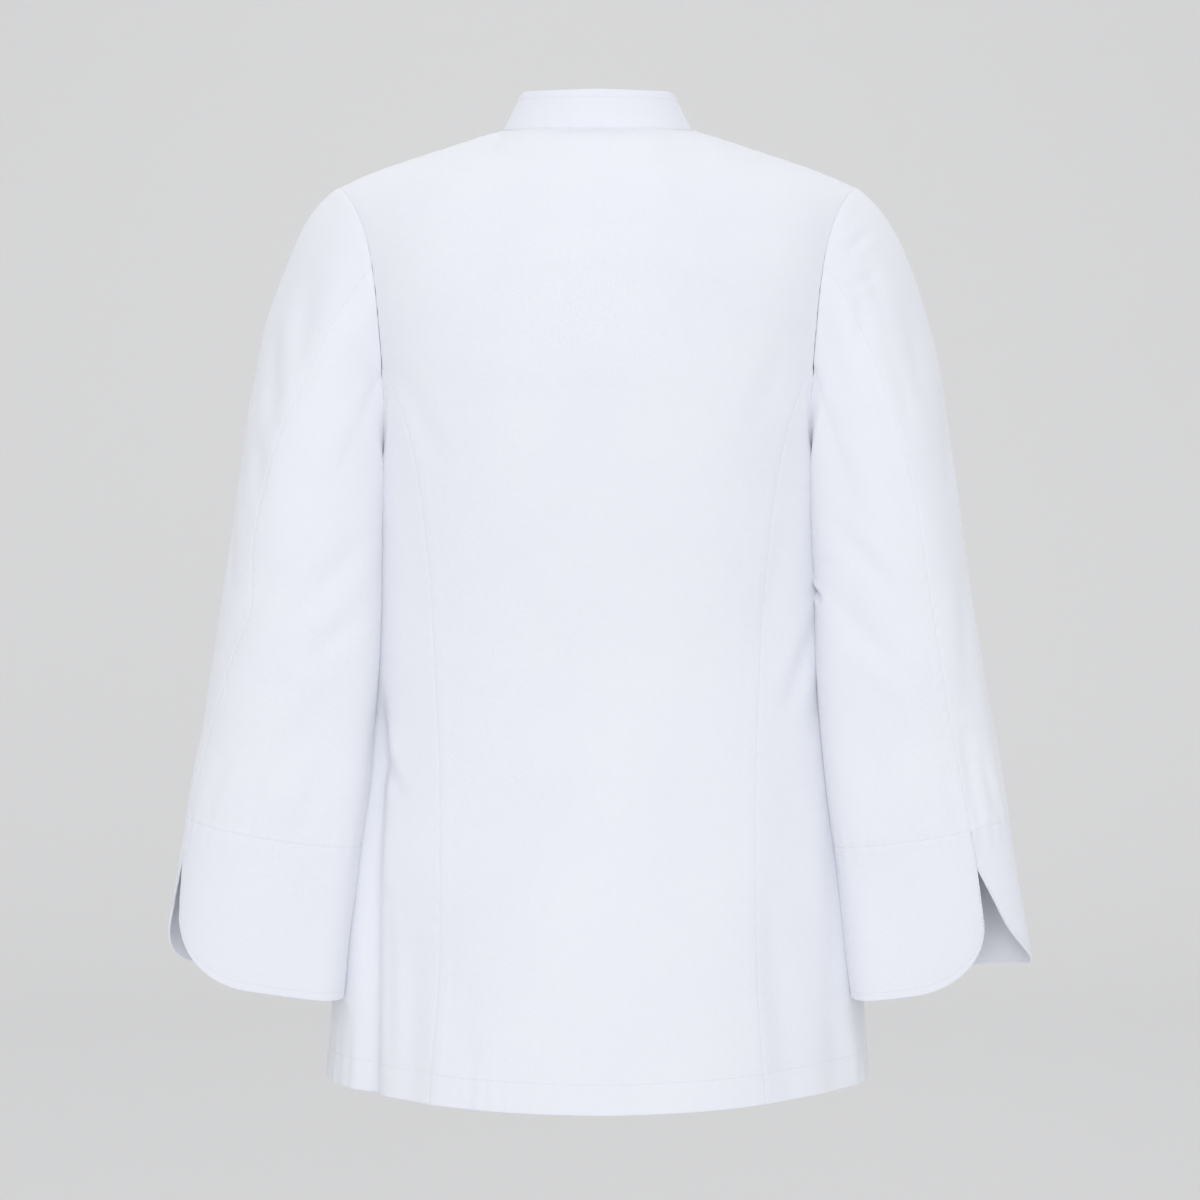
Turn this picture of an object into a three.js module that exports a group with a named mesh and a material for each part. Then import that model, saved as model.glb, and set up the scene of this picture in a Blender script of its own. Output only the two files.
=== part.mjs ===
// A white chef jacket, filled out as if worn: a hollow body with back princess seams, a double-breasted
// front, a standing band collar, two-piece sleeves, and deep cuffs with a rounded vent at the back.
// Millimetres, +Z up. The front faces -Y and the wearer's left is +X. The origin lies between the two
// shoulders, level with the points where the shoulder seams meet the collar.
import * as THREE from "three";

// Cloth walls.
const CLOTH = 1.4; // single cloth, with its share of the seam allowances
const CUFF_CLOTH = 2.2; // two layers
const COLLAR_CLOTH = 2.4; // two layers with interfacing
const SEAM_GAP = 0.3; // between neighbouring pieces
const LAP_LIFT = CLOTH + 0.5; // how far the upper front stands off the lower one

// Body sections: height, half width, depth to the back and to the front, and how square the ring is.
const BODY = [
  { z: -712, half: 206, back: 140.5, front: 130, square: 1.9 },
  { z: -640, half: 199, back: 132, front: 126, square: 1.85 },
  { z: -560, half: 190, back: 121, front: 121, square: 1.95 },
  { z: -480, half: 177.5, back: 111, front: 117, square: 2.05 },
  { z: -390, half: 167, back: 105, front: 117, square: 2.15 },
  { z: -330, half: 164.5, back: 108, front: 123, square: 2.2 },
  { z: -262, half: 165.5, back: 114, front: 132, square: 2.25 },
  { z: -200, half: 172, back: 118, front: 135, square: 2.3 },
  { z: -150, half: 180, back: 120, front: 130, square: 2.3 },
  { z: -100, half: 190, back: 120, front: 120, square: 2.3 },
  { z: -60, half: 200, back: 118, front: 110, square: 2.3 },
  { z: 0, half: 212, back: 115, front: 104, square: 2.3 },
  { z: 40, half: 220, back: 112, front: 100, square: 2.3 },
];
const HEM_Z = -712;
const UNDERARM_Z = -262;
const PRINCESS_TOP_Z = -172; // where the princess seam leaves the armhole

// Top of the shoulders: distance from the centre line, and height.
const RIDGE = [
  { x: 0, z: 13 },
  { x: 35, z: 9.5 },
  { x: 70, z: 0 },
  { x: 116, z: -14.5 },
  { x: 158, z: -28.2 },
  { x: 191, z: -41.8 },
  { x: 215, z: -54 },
];
const SHOULDER_X = 191;
// The body rounds over the shoulders within this height, with this curve exponent.
const ROUND = {
  back: { drop: 110, power: 2.2 },
  front: { drop: 230, power: 1.8 },
};

// Neckline, seen from above.
const NECK = { half: 70, back: 54, front: 69 };
const NECK_STEPS = 5;
const NECK_FRONT_DEG = [0, 11.4, 22.8, 34.2, 45.6, 60.4, 75.2, 90]; // columns of the front neckline
const SHOULDER_STEPS = 5;

// Collar band: its top edge, seen from above, and the height of that edge.
const COLLAR = { half: 58.5, back: 49.5, front: 60, backZ: 31, sideZ: 29, frontZ: -24 };
const COLLAR_GAP = 10; // between the two ends at the front
const COLLAR_CORNER = 11; // radius of the rounded top corners
const COLLAR_ROWS = 3;

// Back princess seam: distance from the centre line at each height.
const PRINCESS = [
  { z: -712, x: 124 },
  { z: -600, x: 117 },
  { z: -482, x: 116 },
  { z: -400, x: 119 },
  { z: -342, x: 122 },
  { z: -283, x: 127 },
  { z: -235, x: 133.5 },
  { z: -205, x: 141 },
  { z: -185, x: 149 },
  { z: -172, x: 157.6 },
];

// Upper armhole edge: distance from the centre line, on the back and on the front.
const ARMHOLE_X = [
  { z: -230, back: 158, front: 150 },
  { z: -180, back: 157.5, front: 147 },
  { z: -143, back: 159.5, front: 148.5 },
  { z: -113, back: 162, front: 153 },
  { z: -81, back: 167.5, front: 162 },
  { z: -60, back: 175.5, front: 172 },
  { z: -49, back: 183, front: 181 },
  { z: -41.8, back: 191, front: 191 },
];
// Lower armhole edge: depth from the middle plane, on the back and on the front.
const ARMHOLE_Y = [
  { z: -262, back: 0, front: 0 },
  { z: -259, back: 16, front: 24 },
  { z: -252, back: 30, front: 42 },
  { z: -238, back: 45, front: 60 },
  { z: -218, back: 54, front: 70 },
  { z: -195, back: 59.5, front: 73 },
  { z: -172, back: 61.5, front: 72 },
];
const FRONT_LOWER_FROM = -205; // the front armhole follows its lower table from here down

// Rows of the panels: angles round the shoulder, then heights.
const BACK_ROUND_DEG = [0, 17, 34, 51, 69, 90];
const FRONT_ROUND_DEG = [0, 10, 20, 30, 40, 50, 60, 69, 77, 83.5, 87.5, 90];
const ARM_ROWS_Z = [-172, -195, -218, -238, -252, -259, -262];
const BODY_ROWS_Z = [-285, -315, -350, -390, -435, -480, -525, -570, -615, -655, -689, -712];
const SIDE_BACK_STEPS = 7;
const SIDE_BACK_TIP = 0.2; // its tip starts this share of a row below the top of the princess seam

// Front overlap: how far the front edge passes the centre line.
const OVERLAP = [
  { z: -712, x: 78 },
  { z: -300, x: 78 },
  { z: -160, x: 75 },
  { z: -90, x: 64 },
  { z: -20, x: 50 },
];
const OVERLAP_STEPS = 4; // columns from the centre line to the front edge
const LAP_RAMP = 36; // the upper front rises on to the lower one over this width

// Buttons.
const BUTTON = {
  radius: 9,
  height: 3.4,
  dome: 0.7,
  sides: 16,
  gap: 0.5, // behind it, over the thread
  inset: 20, // from the front edge
  firstZ: -96,
  pitch: 94,
  rows: 5,
};

// Deep folds beside the back panel: height range, place round the body in degrees from the back, depth,
// the share of that depth left at the hem, and width in degrees.
const SIDE_FOLDS = [
  { side: 1, topZ: -430, fullZ: -590, angleTop: 63, angleHem: 62, depth: 9.5, left: 0.45, width: 6.2 },
  { side: -1, topZ: -520, fullZ: -640, angleTop: 66, angleHem: 68, depth: 6, left: 0.6, width: 5.6 },
];

// Sleeve sections, square to the sleeve: centre, half width, half depth and tilt, and how far the back
// seam has turned outwards on the left and on the right sleeve.
const SLEEVE = [
  { z: -310, x: 216.2, y: 26, half: 57.4, depth: 59, tilt: 7, left: 41, right: 24 },
  { z: -350, x: 220.1, y: 29.5, half: 59.6, depth: 56, tilt: 7.5, left: 36, right: 25.5 },
  { z: -391, x: 224.2, y: 33, half: 61.7, depth: 53, tilt: 8, left: 48, right: 27 },
  { z: -480, x: 236.2, y: 40, half: 65.4, depth: 44, tilt: 9, left: 67, right: 30 },
  { z: -518, x: 241.9, y: 43.3, half: 66.1, depth: 40.8, tilt: 9, left: 74, right: 32 },
  { z: -632, x: 258.6, y: 51, half: 69, depth: 36, tilt: 9.5, left: 74, right: 32 },
];
const CAP_ROWS = 9; // from the armhole to the first section
const ARM_ROWS = [-340, -370, -400, -430, -459, -488, -518];
const FRONT_SEAM_DEG = 205; // where the front sleeve seam runs, from the back round the outside
const BACK_SEAM_EDGE = 4; // armhole points from the shoulder to the back sleeve seam
const FRONT_SEAM_EDGE = 7; // armhole points from the shoulder to the front sleeve seam
// How the sleeve leaves the armhole, at the shoulder and at the underarm.
const LEAVE = { top: { out: 0.89, down: 0.46 }, under: { out: 0.12, down: 0.99 }, bulge: 0.22 };
const REACH = { start: 0.21, end: 0.36 }; // length of the two curve handles, as shares of the distance
const HEAD_TURN = 0.8; // share of the sleeve head over which its columns turn to their places on the tube
const HEAD_LEAD_DEG = { left: 0, right: 18 }; // how far its back columns first lead towards the body
const HEAD_ASIDE = 1.3 * SEAM_GAP; // how much further out the sleeve starts at the underarm
const BODY_CLEARANCE = 2.4; // between the sleeve and the body beside it

// Cuffs.
const CUFF_TOP_Z = -518;
const CUFF_END_Z = -632;
const VENT_TOP = 29; // below the cuff seam
const VENT = { left: { near: 50, far: 96 }, right: { near: 30, far: 63 } }; // its edges at the foot
const VENT_SLIT_DEG = 0.35; // half the slit's width above the vent
const CUFF_CORNER = 46; // radius of the rounded corners
const CUFF_GIRTH_SHARE = 0.92; // of half the girth's width and depth summed and turned once round
const CUFF_ROWS = 6;
const CUFF_ROWS_ABOVE = 2; // rows above the vent
const CUFF_STEPS = 30;
const CUFF_CROWDING = 0.085; // how far its columns move towards the rounded corners

const WHITE = { color: 0xeef0f8, roughness: 0.85, metalness: 0 };
const PLASTIC = { color: 0xf4f5fa, roughness: 0.35, metalness: 0 };

const rad = THREE.MathUtils.degToRad;
const mix = THREE.MathUtils.lerp;
const clamp = THREE.MathUtils.clamp;

function smooth(from, to, value) {
  const t = clamp((value - from) / (to - from), 0, 1);
  return t * t * (3 - 2 * t);
}

// A curve through a table's rows that doesn't overshoot them (monotone cubic).
function curve(table, key, column) {
  const rows = [...table].sort((p, q) => p[key] - q[key]);
  const at = rows.map((r) => r[key]);
  const value = rows.map((r) => r[column]);
  const last = at.length - 1;
  const slope = at.slice(1).map((x, i) => (value[i + 1] - value[i]) / (x - at[i]));
  const tangent = at.map((_, i) => {
    if (i === 0) return slope[0];
    if (i === last) return slope[last - 1];
    const product = slope[i - 1] * slope[i];
    return product <= 0 ? 0 : (2 * product) / (slope[i - 1] + slope[i]);
  });
  return (x) => {
    const inside = clamp(x, at[0], at[last]);
    let i = 0;
    while (i < last - 1 && inside > at[i + 1]) i += 1;
    const width = at[i + 1] - at[i];
    const t = (inside - at[i]) / width;
    const t2 = t * t;
    const t3 = t2 * t;
    return (
      (2 * t3 - 3 * t2 + 1) * value[i] +
      (t3 - 2 * t2 + t) * width * tangent[i] +
      (3 * t2 - 2 * t3) * value[i + 1] +
      (t3 - t2) * width * tangent[i + 1]
    );
  };
}

const bodyHalf = curve(BODY, "z", "half");
const bodySquare = curve(BODY, "z", "square");
const bodyDepth = { back: curve(BODY, "z", "back"), front: curve(BODY, "z", "front") };
const ridgeZ = curve(RIDGE, "x", "z");
const princessX = curve(PRINCESS, "z", "x");
const armholeX = { back: curve(ARMHOLE_X, "z", "back"), front: curve(ARMHOLE_X, "z", "front") };
const armholeY = { back: curve(ARMHOLE_Y, "z", "back"), front: curve(ARMHOLE_Y, "z", "front") };
const overlapX = curve(OVERLAP, "z", "x");
const sign = { back: 1, front: -1 };

// Depth of the ring at a distance x from the centre line, before the shoulder rounding.
function ringDepth(face, x, z) {
  const n = bodySquare(z);
  return bodyDepth[face](z) * Math.max(1 - (Math.abs(x) / bodyHalf(z)) ** n, 0) ** (1 / n);
}

// Share of that depth which is left at a drop below the top of the shoulders.
function shoulderShare(face, drop) {
  const { drop: full, power } = ROUND[face];
  return (1 - clamp(1 - drop / full, 0, 1) ** power) ** (1 / power);
}

// The point of the body's outer surface at a given x and z.
function bodyPoint(face, x, z) {
  const y = ringDepth(face, x, z) * shoulderShare(face, ridgeZ(Math.abs(x)) - z);
  return new THREE.Vector3(x, sign[face] * y, z);
}

// The same, for an angle round the shoulder: 0 on the ridge, 90 degrees where the rounding ends.
function shoulderPoint(face, x, angle) {
  const { drop, power } = ROUND[face];
  const z = ridgeZ(Math.abs(x)) - drop * (1 - Math.max(Math.cos(angle), 0) ** (2 / power));
  return new THREE.Vector3(x, sign[face] * ringDepth(face, x, z) * Math.sin(angle) ** (2 / power), z);
}

// The point of a ring at a given depth y, on the side of the body given by the sign of x.
function ringPoint(face, side, y, z) {
  const n = bodySquare(z);
  const share = Math.max(1 - (Math.abs(y) / bodyDepth[face](z)) ** n, 0) ** (1 / n);
  return new THREE.Vector3(side * bodyHalf(z) * share, sign[face] * Math.abs(y), z);
}

// Outward normal of the body, from the gradient of the surface's own equation.
function bodyNormal(point) {
  const face = point.y >= 0 ? "back" : "front";
  const { drop: full, power } = ROUND[face];
  const onTop = ridgeZ(Math.abs(point.x)) - point.z < full / 2;
  const level = (x, y, z) => {
    const rest = 1 - (ridgeZ(Math.abs(x)) - z) / full;
    if (onTop) return (Math.abs(y) / ringDepth(face, x, z)) ** power + rest ** power;
    const n = bodySquare(z);
    const depth = bodyDepth[face](z) * (1 - clamp(rest, 0, 1) ** power) ** (1 / power);
    return (Math.abs(x) / bodyHalf(z)) ** n + (Math.abs(y) / depth) ** n;
  };
  const { x, y, z } = point;
  const step = 0.4;
  return new THREE.Vector3(
    level(x + step, y, z) - level(x - step, y, z),
    level(x, y + step, z) - level(x, y - step, z),
    level(x, y, z + step) - level(x, y, z - step),
  ).normalize();
}

// How far the deep side folds move the cloth, along its normal.
function foldDepth(point) {
  const angle = THREE.MathUtils.radToDeg(Math.atan2(Math.abs(point.x), point.y));
  let moved = 0;
  for (const fold of SIDE_FOLDS) {
    if (point.x * fold.side <= 0 || point.y <= 0) continue;
    const grown = smooth(fold.topZ, fold.fullZ, point.z);
    const centre = mix(fold.angleTop, fold.angleHem, grown);
    const kept = mix(1, fold.left, smooth(fold.fullZ, HEM_Z, point.z));
    moved -= fold.depth * grown * kept * Math.exp(-(((angle - centre) / fold.width) ** 2));
  }
  return moved;
}

// Folds the cloth, lifts it, and gives each point its outer place and its inner direction.
function dress(rows, lift = () => 0) {
  return rows.map((row) =>
    row.map((point) => {
      const normal = bodyNormal(point);
      const outer = point.clone().addScaledVector(normal, foldDepth(point) + lift(point));
      return { outer, normal };
    }),
  );
}

// Moves the border of a grid inwards by half the seam gap.
function trim(grid, sides = { first: true, last: true, left: true, right: true }) {
  const rows = grid.length;
  const columns = grid[0].length;
  const moved = grid.map((row) => row.map((p) => ({ ...p, outer: p.outer.clone() })));
  const pull = (r, c, towardsR, towardsC) => {
    const way = grid[towardsR][towardsC].outer.clone().sub(grid[r][c].outer).normalize();
    moved[r][c].outer.addScaledVector(way, SEAM_GAP / 2);
  };
  for (let c = 0; c < columns; c += 1) {
    if (sides.first) pull(0, c, 1, c);
    if (sides.last) pull(rows - 1, c, rows - 2, c);
  }
  for (let r = 0; r < rows; r += 1) {
    if (sides.left) pull(r, 0, r, 1);
    if (sides.right) pull(r, columns - 1, r, columns - 2);
  }
  return moved;
}

// A closed wall: the outer grid, the same grid moved in by the cloth's thickness, and the edges between.
function wall(grid, thickness) {
  const rows = grid.length;
  const columns = grid[0].length;
  const inner = rows * columns;
  const positions = [];
  for (const row of grid) for (const p of row) positions.push(...p.outer.toArray());
  for (const row of grid) {
    for (const p of row) positions.push(...p.outer.clone().addScaledVector(p.normal, -thickness).toArray());
  }
  const index = [];
  const quad = (a, b, c, d) => index.push(a, b, c, a, c, d);
  for (let r = 0; r < rows - 1; r += 1) {
    for (let c = 0; c < columns - 1; c += 1) {
      const a = r * columns + c;
      const b = a + 1;
      const d = a + columns;
      quad(a, d, d + 1, b);
      quad(inner + a, inner + b, inner + d + 1, inner + d);
    }
  }
  const border = [];
  for (let c = 0; c < columns; c += 1) border.push(c);
  for (let r = 1; r < rows; r += 1) border.push(r * columns + columns - 1);
  for (let c = columns - 2; c >= 0; c -= 1) border.push((rows - 1) * columns + c);
  for (let r = rows - 2; r >= 1; r -= 1) border.push(r * columns);
  border.forEach((a, i) => {
    const b = border[(i + 1) % border.length];
    quad(a, b, inner + b, inner + a);
  });
  return facingOut(positions, index);
}

// A geometry whose faces point outwards.
function facingOut(positions, index) {
  const geometry = new THREE.BufferGeometry();
  const corner = (i) => new THREE.Vector3().fromArray(positions, 3 * i);
  let volume = 0;
  for (let i = 0; i < index.length; i += 3) {
    volume += corner(index[i]).dot(corner(index[i + 1]).cross(corner(index[i + 2])));
  }
  const faces = volume > 0 ? index : index.map((_, i) => index[i - (i % 3) + 2 - (i % 3)]);
  geometry.setAttribute("position", new THREE.Float32BufferAttribute(positions, 3));
  geometry.setIndex(faces);
  geometry.computeVertexNormals();
  return geometry;
}

// The armhole edge of the upper body, at a height given by a drop below the ridge.
function edgeAtDrop(face, drop) {
  let x = SHOULDER_X;
  for (let i = 0; i < 40; i += 1) x = mix(x, edgeX(face, ridgeZ(x) - drop), 0.6);
  return x;
}

// Distance of the armhole edge from the centre line at a height.
function edgeX(face, z) {
  const lowerFrom = face === "front" ? FRONT_LOWER_FROM : PRINCESS_TOP_Z;
  const upper = armholeX[face](z);
  if (z >= lowerFrom) return upper;
  const lower = ringPoint(face, 1, armholeY[face](z), z).x;
  return mix(upper, lower, smooth(lowerFrom, lowerFrom - 12, z));
}

// Where the columns of the top row stand: on the neckline, then along the shoulder seam.
function topStations(neckDegrees) {
  const neck = neckDegrees.map((deg) => NECK.half * Math.sin(rad(deg)));
  const shoulder = [];
  for (let i = 1; i <= SHOULDER_STEPS; i += 1) {
    shoulder.push(mix(NECK.half, SHOULDER_X, i / SHOULDER_STEPS));
  }
  return [...neck, ...shoulder];
}

// The angle round the shoulder at which the neckline lies, for a column of the top row.
function necklineAngle(face, x) {
  if (x >= NECK.half) return 0;
  const depth = NECK[face] * Math.sqrt(Math.max(1 - (x / NECK.half) ** 2, 0));
  let angle = 0.3;
  for (let i = 0; i < 60; i += 1) {
    const { drop, power } = ROUND[face];
    const z = ridgeZ(x) - drop * (1 - Math.cos(angle) ** (2 / power));
    const share = clamp(depth / ringDepth(face, x, z), 0, 1);
    angle = mix(angle, Math.asin(share ** (power / 2)), 0.5);
  }
  return angle;
}

const NECK_BACK_DEG = Array.from({ length: NECK_STEPS + 1 }, (_, i) => (90 * i) / NECK_STEPS);
const STATIONS = { back: topStations(NECK_BACK_DEG), front: topStations(NECK_FRONT_DEG) };
const COLUMNS = { back: STATIONS.back.length - 1, front: STATIONS.front.length - 1 };

// How far along a lower row each column stands. On the front, the first columns end at the front edge.
function columnShare(face, column, edgeShare) {
  if (face === "back") return column / COLUMNS.back;
  if (column <= OVERLAP_STEPS) return (edgeShare * column) / OVERLAP_STEPS;
  return mix(edgeShare, 1, (column - OVERLAP_STEPS) / (COLUMNS.front - OVERLAP_STEPS));
}

// The angle of a point of a ring from the middle plane, and how far out a ring reaches at an angle.
function ringAngle(face, x, z) {
  return Math.atan2(x / bodyHalf(z), ringDepth(face, x, z) / bodyDepth[face](z));
}

function outwards(z, angle) {
  const n = bodySquare(z);
  const reach = (Math.sin(angle) ** n + Math.max(Math.cos(angle), 0) ** n) ** (-1 / n);
  return reach * Math.sin(angle);
}

// One row of the half body over the shoulder, from the centre line to the armhole.
function shoulderRow(face, share) {
  const { drop, power } = ROUND[face];
  const down = drop * (1 - Math.cos(rad(90) * share) ** (2 / power));
  const edge = edgeAtDrop(face, down);
  const z = ridgeZ(edge) - down;
  const whole = ringAngle(face, edge, z);
  const lap = ringAngle(face, overlapX(ridgeZ(OVERLAP.at(-1).x) - down), z) / whole;
  return STATIONS[face].map((station, i) => {
    const turned = outwards(z, whole * columnShare(face, i, lap)) / outwards(z, whole);
    const x = edge * mix(station / SHOULDER_X, turned, smooth(0, 1, share));
    const start = station < NECK.half ? necklineAngle(face, station) : 0;
    return shoulderPoint(face, x, mix(start, rad(90), share));
  });
}

// One level row of the half body, from the centre line to the given edge.
function levelRow(face, z, edge) {
  return STATIONS[face].map((_, i) => bodyPoint(face, edge * columnShare(face, i, 0), z));
}

const mirrored = (row) => row.map((p) => new THREE.Vector3(-p.x, p.y, p.z));
const bothHalves = (row) => [...mirrored(row).reverse().slice(0, -1), ...row];

// Half rows of the back panel, from the shoulder to the hem.
function backRows() {
  const rows = BACK_ROUND_DEG.map((deg) => shoulderRow("back", deg / 90));
  for (const z of [...ARM_ROWS_Z, ...BODY_ROWS_Z]) rows.push(levelRow("back", z, princessX(z)));
  return rows;
}

function backPanel() {
  return wall(trim(dress(backRows().map(bothHalves))), CLOTH);
}

// The side back, from the princess seam to the armhole edge and the side seam.
function sideBackRow(side, z) {
  const start = bodyPoint("back", princessX(z), z);
  const end = ringPoint("back", 1, z > UNDERARM_Z ? armholeY.back(z) : 0, z);
  const from = Math.atan2(start.x / bodyHalf(z), start.y / bodyDepth.back(z));
  const to = Math.atan2(end.x / bodyHalf(z), end.y / bodyDepth.back(z));
  const row = [];
  for (let i = 0; i <= SIDE_BACK_STEPS; i += 1) {
    const angle = mix(from, to, i / SIDE_BACK_STEPS);
    const n = bodySquare(z);
    const reach = (Math.abs(Math.sin(angle)) ** n + Math.abs(Math.cos(angle)) ** n) ** (-1 / n);
    const x = side * bodyHalf(z) * reach * Math.sin(angle);
    row.push(new THREE.Vector3(x, bodyDepth.back(z) * reach * Math.cos(angle), z));
  }
  return row;
}

// Its rows; the first one is the narrow tip under the top of the princess seam.
function sideBackRows(side) {
  const rows = [...ARM_ROWS_Z, ...BODY_ROWS_Z].map((z) => sideBackRow(side, z));
  rows[0] = rows[0].map((p, i) => p.clone().lerp(rows[1][i], SIDE_BACK_TIP));
  return rows;
}

function sideBack(side) {
  return wall(trim(dress(sideBackRows(side))), CLOTH);
}

// Half rows of the front, from the centre line to the armhole edge and the side seam.
function frontRows() {
  const rows = FRONT_ROUND_DEG.map((deg) => shoulderRow("front", deg / 90));
  for (const z of [UNDERARM_Z, ...BODY_ROWS_Z]) {
    const lap = ringAngle("front", overlapX(z), z) / rad(90);
    rows.push(
      STATIONS.front.map((_, i) => {
        const x = bodyHalf(z) * outwards(z, rad(90) * columnShare("front", i, lap));
        return i === COLUMNS.front ? new THREE.Vector3(bodyHalf(z), 0, z) : bodyPoint("front", x, z);
      }),
    );
  }
  return rows;
}

// A front: its own half and the strip past the centre line. The right front lies over the left one.
function frontPanel(side) {
  const rows = frontRows().map((row) => {
    const strip = row.slice(1, OVERLAP_STEPS + 1).reverse();
    return side > 0 ? [...mirrored(strip), ...row] : [...strip, ...mirrored(row)];
  });
  const lift = (p) => {
    const edge = overlapX(p.z);
    return side < 0 ? LAP_LIFT * smooth(edge + LAP_RAMP, edge + 2, -p.x) : 0;
  };
  return wall(trim(dress(rows, lift)), CLOTH);
}

// The length along a row of points, at each of them.
function lengthsAlong(points) {
  const along = [0];
  for (let i = 1; i < points.length; i += 1) along.push(along[i - 1] + points[i].distanceTo(points[i - 1]));
  return along;
}

// How much a rounded corner takes off an edge, at a distance from the side it starts from.
function cornerCut(radius, distance) {
  const short = Math.max(radius - distance, 0);
  return radius - Math.sqrt(radius ** 2 - short ** 2);
}

// The neckline from the centre back to the centre front: its points and the angle round the neck.
function collarStations() {
  const point = (face, deg) => {
    const x = NECK.half * Math.sin(rad(deg));
    return shoulderPoint(face, x, necklineAngle(face, x));
  };
  const back = NECK_BACK_DEG.map((deg) => ({ base: point("back", deg), angle: rad(deg) }));
  const front = NECK_FRONT_DEG.map((deg) => ({ base: point("front", deg), angle: rad(180 - deg) }));
  return [...back, ...front.reverse().slice(1)];
}

// Top edge of the collar, at an angle round the neck: 0 at the back, 180 degrees at the front.
function collarTop(angle) {
  const depth = Math.cos(angle) >= 0 ? COLLAR.back : COLLAR.front;
  const towardsFront = smooth(rad(60), rad(180), angle);
  const backHalf = mix(COLLAR.backZ, COLLAR.sideZ, Math.sin(Math.min(angle, rad(90))));
  const z = mix(backHalf, COLLAR.frontZ, towardsFront);
  return new THREE.Vector3(COLLAR.half * Math.sin(angle), depth * Math.cos(angle), z);
}

function collar() {
  const half = collarStations();
  const last = half[half.length - 1];
  const before = half[half.length - 2];
  // The end stops short of the centre front, and the top corner is rounded.
  const back = COLLAR_GAP / 2 / last.base.distanceTo(before.base);
  last.base = last.base.clone().lerp(before.base, back);
  last.angle = mix(last.angle, before.angle, back);
  const ends = half.map((s) => ({ base: s.base, top: collarTop(s.angle) }));
  const along = lengthsAlong(ends.map((s) => s.base));
  const stations = ends.map((s, i) => {
    const cut = cornerCut(COLLAR_CORNER, along.at(-1) - along[i]);
    return { ...s, height: 1 - cut / s.base.distanceTo(s.top) };
  });
  const column = (s, side) => {
    const points = [];
    for (let r = 0; r <= COLLAR_ROWS; r += 1) {
      const p = s.base.clone().lerp(s.top, mix(0.012, s.height, r / COLLAR_ROWS));
      points.push(new THREE.Vector3(side * p.x, p.y, p.z));
    }
    return points;
  };
  const columns = [
    ...stations.slice(1).reverse().map((s) => column(s, -1)),
    ...stations.map((s) => column(s, 1)),
  ];
  const grid = columns[0].map((_, r) =>
    columns.map((points, c) => {
      const before = columns[Math.max(c - 1, 0)][r];
      const after = columns[Math.min(c + 1, columns.length - 1)][r];
      const up = columns[c][COLLAR_ROWS].clone().sub(columns[c][0]);
      return { outer: points[r], normal: after.clone().sub(before).cross(up).normalize() };
    }),
  );
  const outwards = grid[0][Math.floor(columns.length / 2)].normal.y > 0 ? 1 : -1;
  grid.forEach((row) => row.forEach((p) => p.normal.multiplyScalar(outwards)));
  return wall(grid, COLLAR_CLOTH);
}

// The armhole's points from the shoulder to the underarm, down the back or down the front, on the left.
function armholeEdge(face) {
  const rows = face === "back" ? [...backRows().slice(0, BACK_ROUND_DEG.length)] : frontRows();
  if (face === "front") return rows.slice(0, FRONT_ROUND_DEG.length + 1).map((row) => row.at(-1));
  return [...rows.map((row) => row.at(-1)), ...ARM_ROWS_Z.map((z) => sideBackRow(1, z).at(-1))];
}

// The whole armhole in one turn, starting at the back sleeve seam, over the shoulder to the front one,
// and back under the arm. Each point knows its place between the shoulder (0) and the underarm (1).
function armholeLoop() {
  const halves = ["back", "front"].map((face) => {
    const points = armholeEdge(face);
    const along = lengthsAlong(points);
    return points.map((point, i) => {
      const share = along[i] / along.at(-1);
      return { point, share, angle: face === "back" ? rad(90 - 180 * share) : rad(90 + 180 * share) };
    });
  });
  const [back, front] = halves;
  const overTop = [...back.slice(0, BACK_SEAM_EDGE + 1).reverse(), ...front.slice(1, FRONT_SEAM_EDGE + 1)];
  const under = [...front.slice(FRONT_SEAM_EDGE + 1), ...back.slice(BACK_SEAM_EDGE, -1).reverse()];
  const backFrom = under.length - (back.length - 1 - BACK_SEAM_EDGE);
  const turned = under.map((p, i) => (i < backFrom ? p : { ...p, angle: p.angle + rad(360) }));
  return { points: [...overTop, ...turned], topCount: overTop.length - 1 };
}

const LOOP = armholeLoop();
const LOOP_STEPS = LOOP.points.length - 1;
const section = (column) => curve(SLEEVE, "z", column);
const sleeveX = section("x");
const sleeveY = section("y");
const sleeveHalf = section("half");
const sleeveDepth = section("depth");
const sleeveTilt = section("tilt");
const seamTurn = { left: section("left"), right: section("right") };

// A point of the left sleeve's tube: its section's height, and the angle from the back outwards.
function tubePoint(z, angle) {
  const tilt = rad(sleeveTilt(z));
  const across = sleeveHalf(z) * Math.sin(angle);
  return new THREE.Vector3(
    sleeveX(z) + across * Math.cos(tilt),
    sleeveY(z) + sleeveDepth(z) * Math.cos(angle),
    z + across * Math.sin(tilt),
  );
}

// The angle of each column on the tube: even over the top sleeve, and even over the under sleeve.
function tubeAngle(column, turn) {
  const back = rad(turn);
  const front = rad(FRONT_SEAM_DEG);
  if (column <= LOOP.topCount) return mix(back, front, column / LOOP.topCount);
  return mix(front, back + rad(360), (column - LOOP.topCount) / (LOOP_STEPS - LOOP.topCount));
}

// Keeps a point of the left sleeve clear of the body beside it.
function clearOfBody(point) {
  if (point.z > UNDERARM_Z) return point;
  const face = point.y >= 0 ? "back" : "front";
  const room = mix(SEAM_GAP, BODY_CLEARANCE, smooth(UNDERARM_Z + 2, UNDERARM_Z - 10, point.z));
  const least = ringPoint(face, 1, Math.min(Math.abs(point.y), bodyDepth[face](point.z) * 0.98), point.z).x;
  point.x = Math.max(point.x, least + room);
  return point;
}

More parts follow.
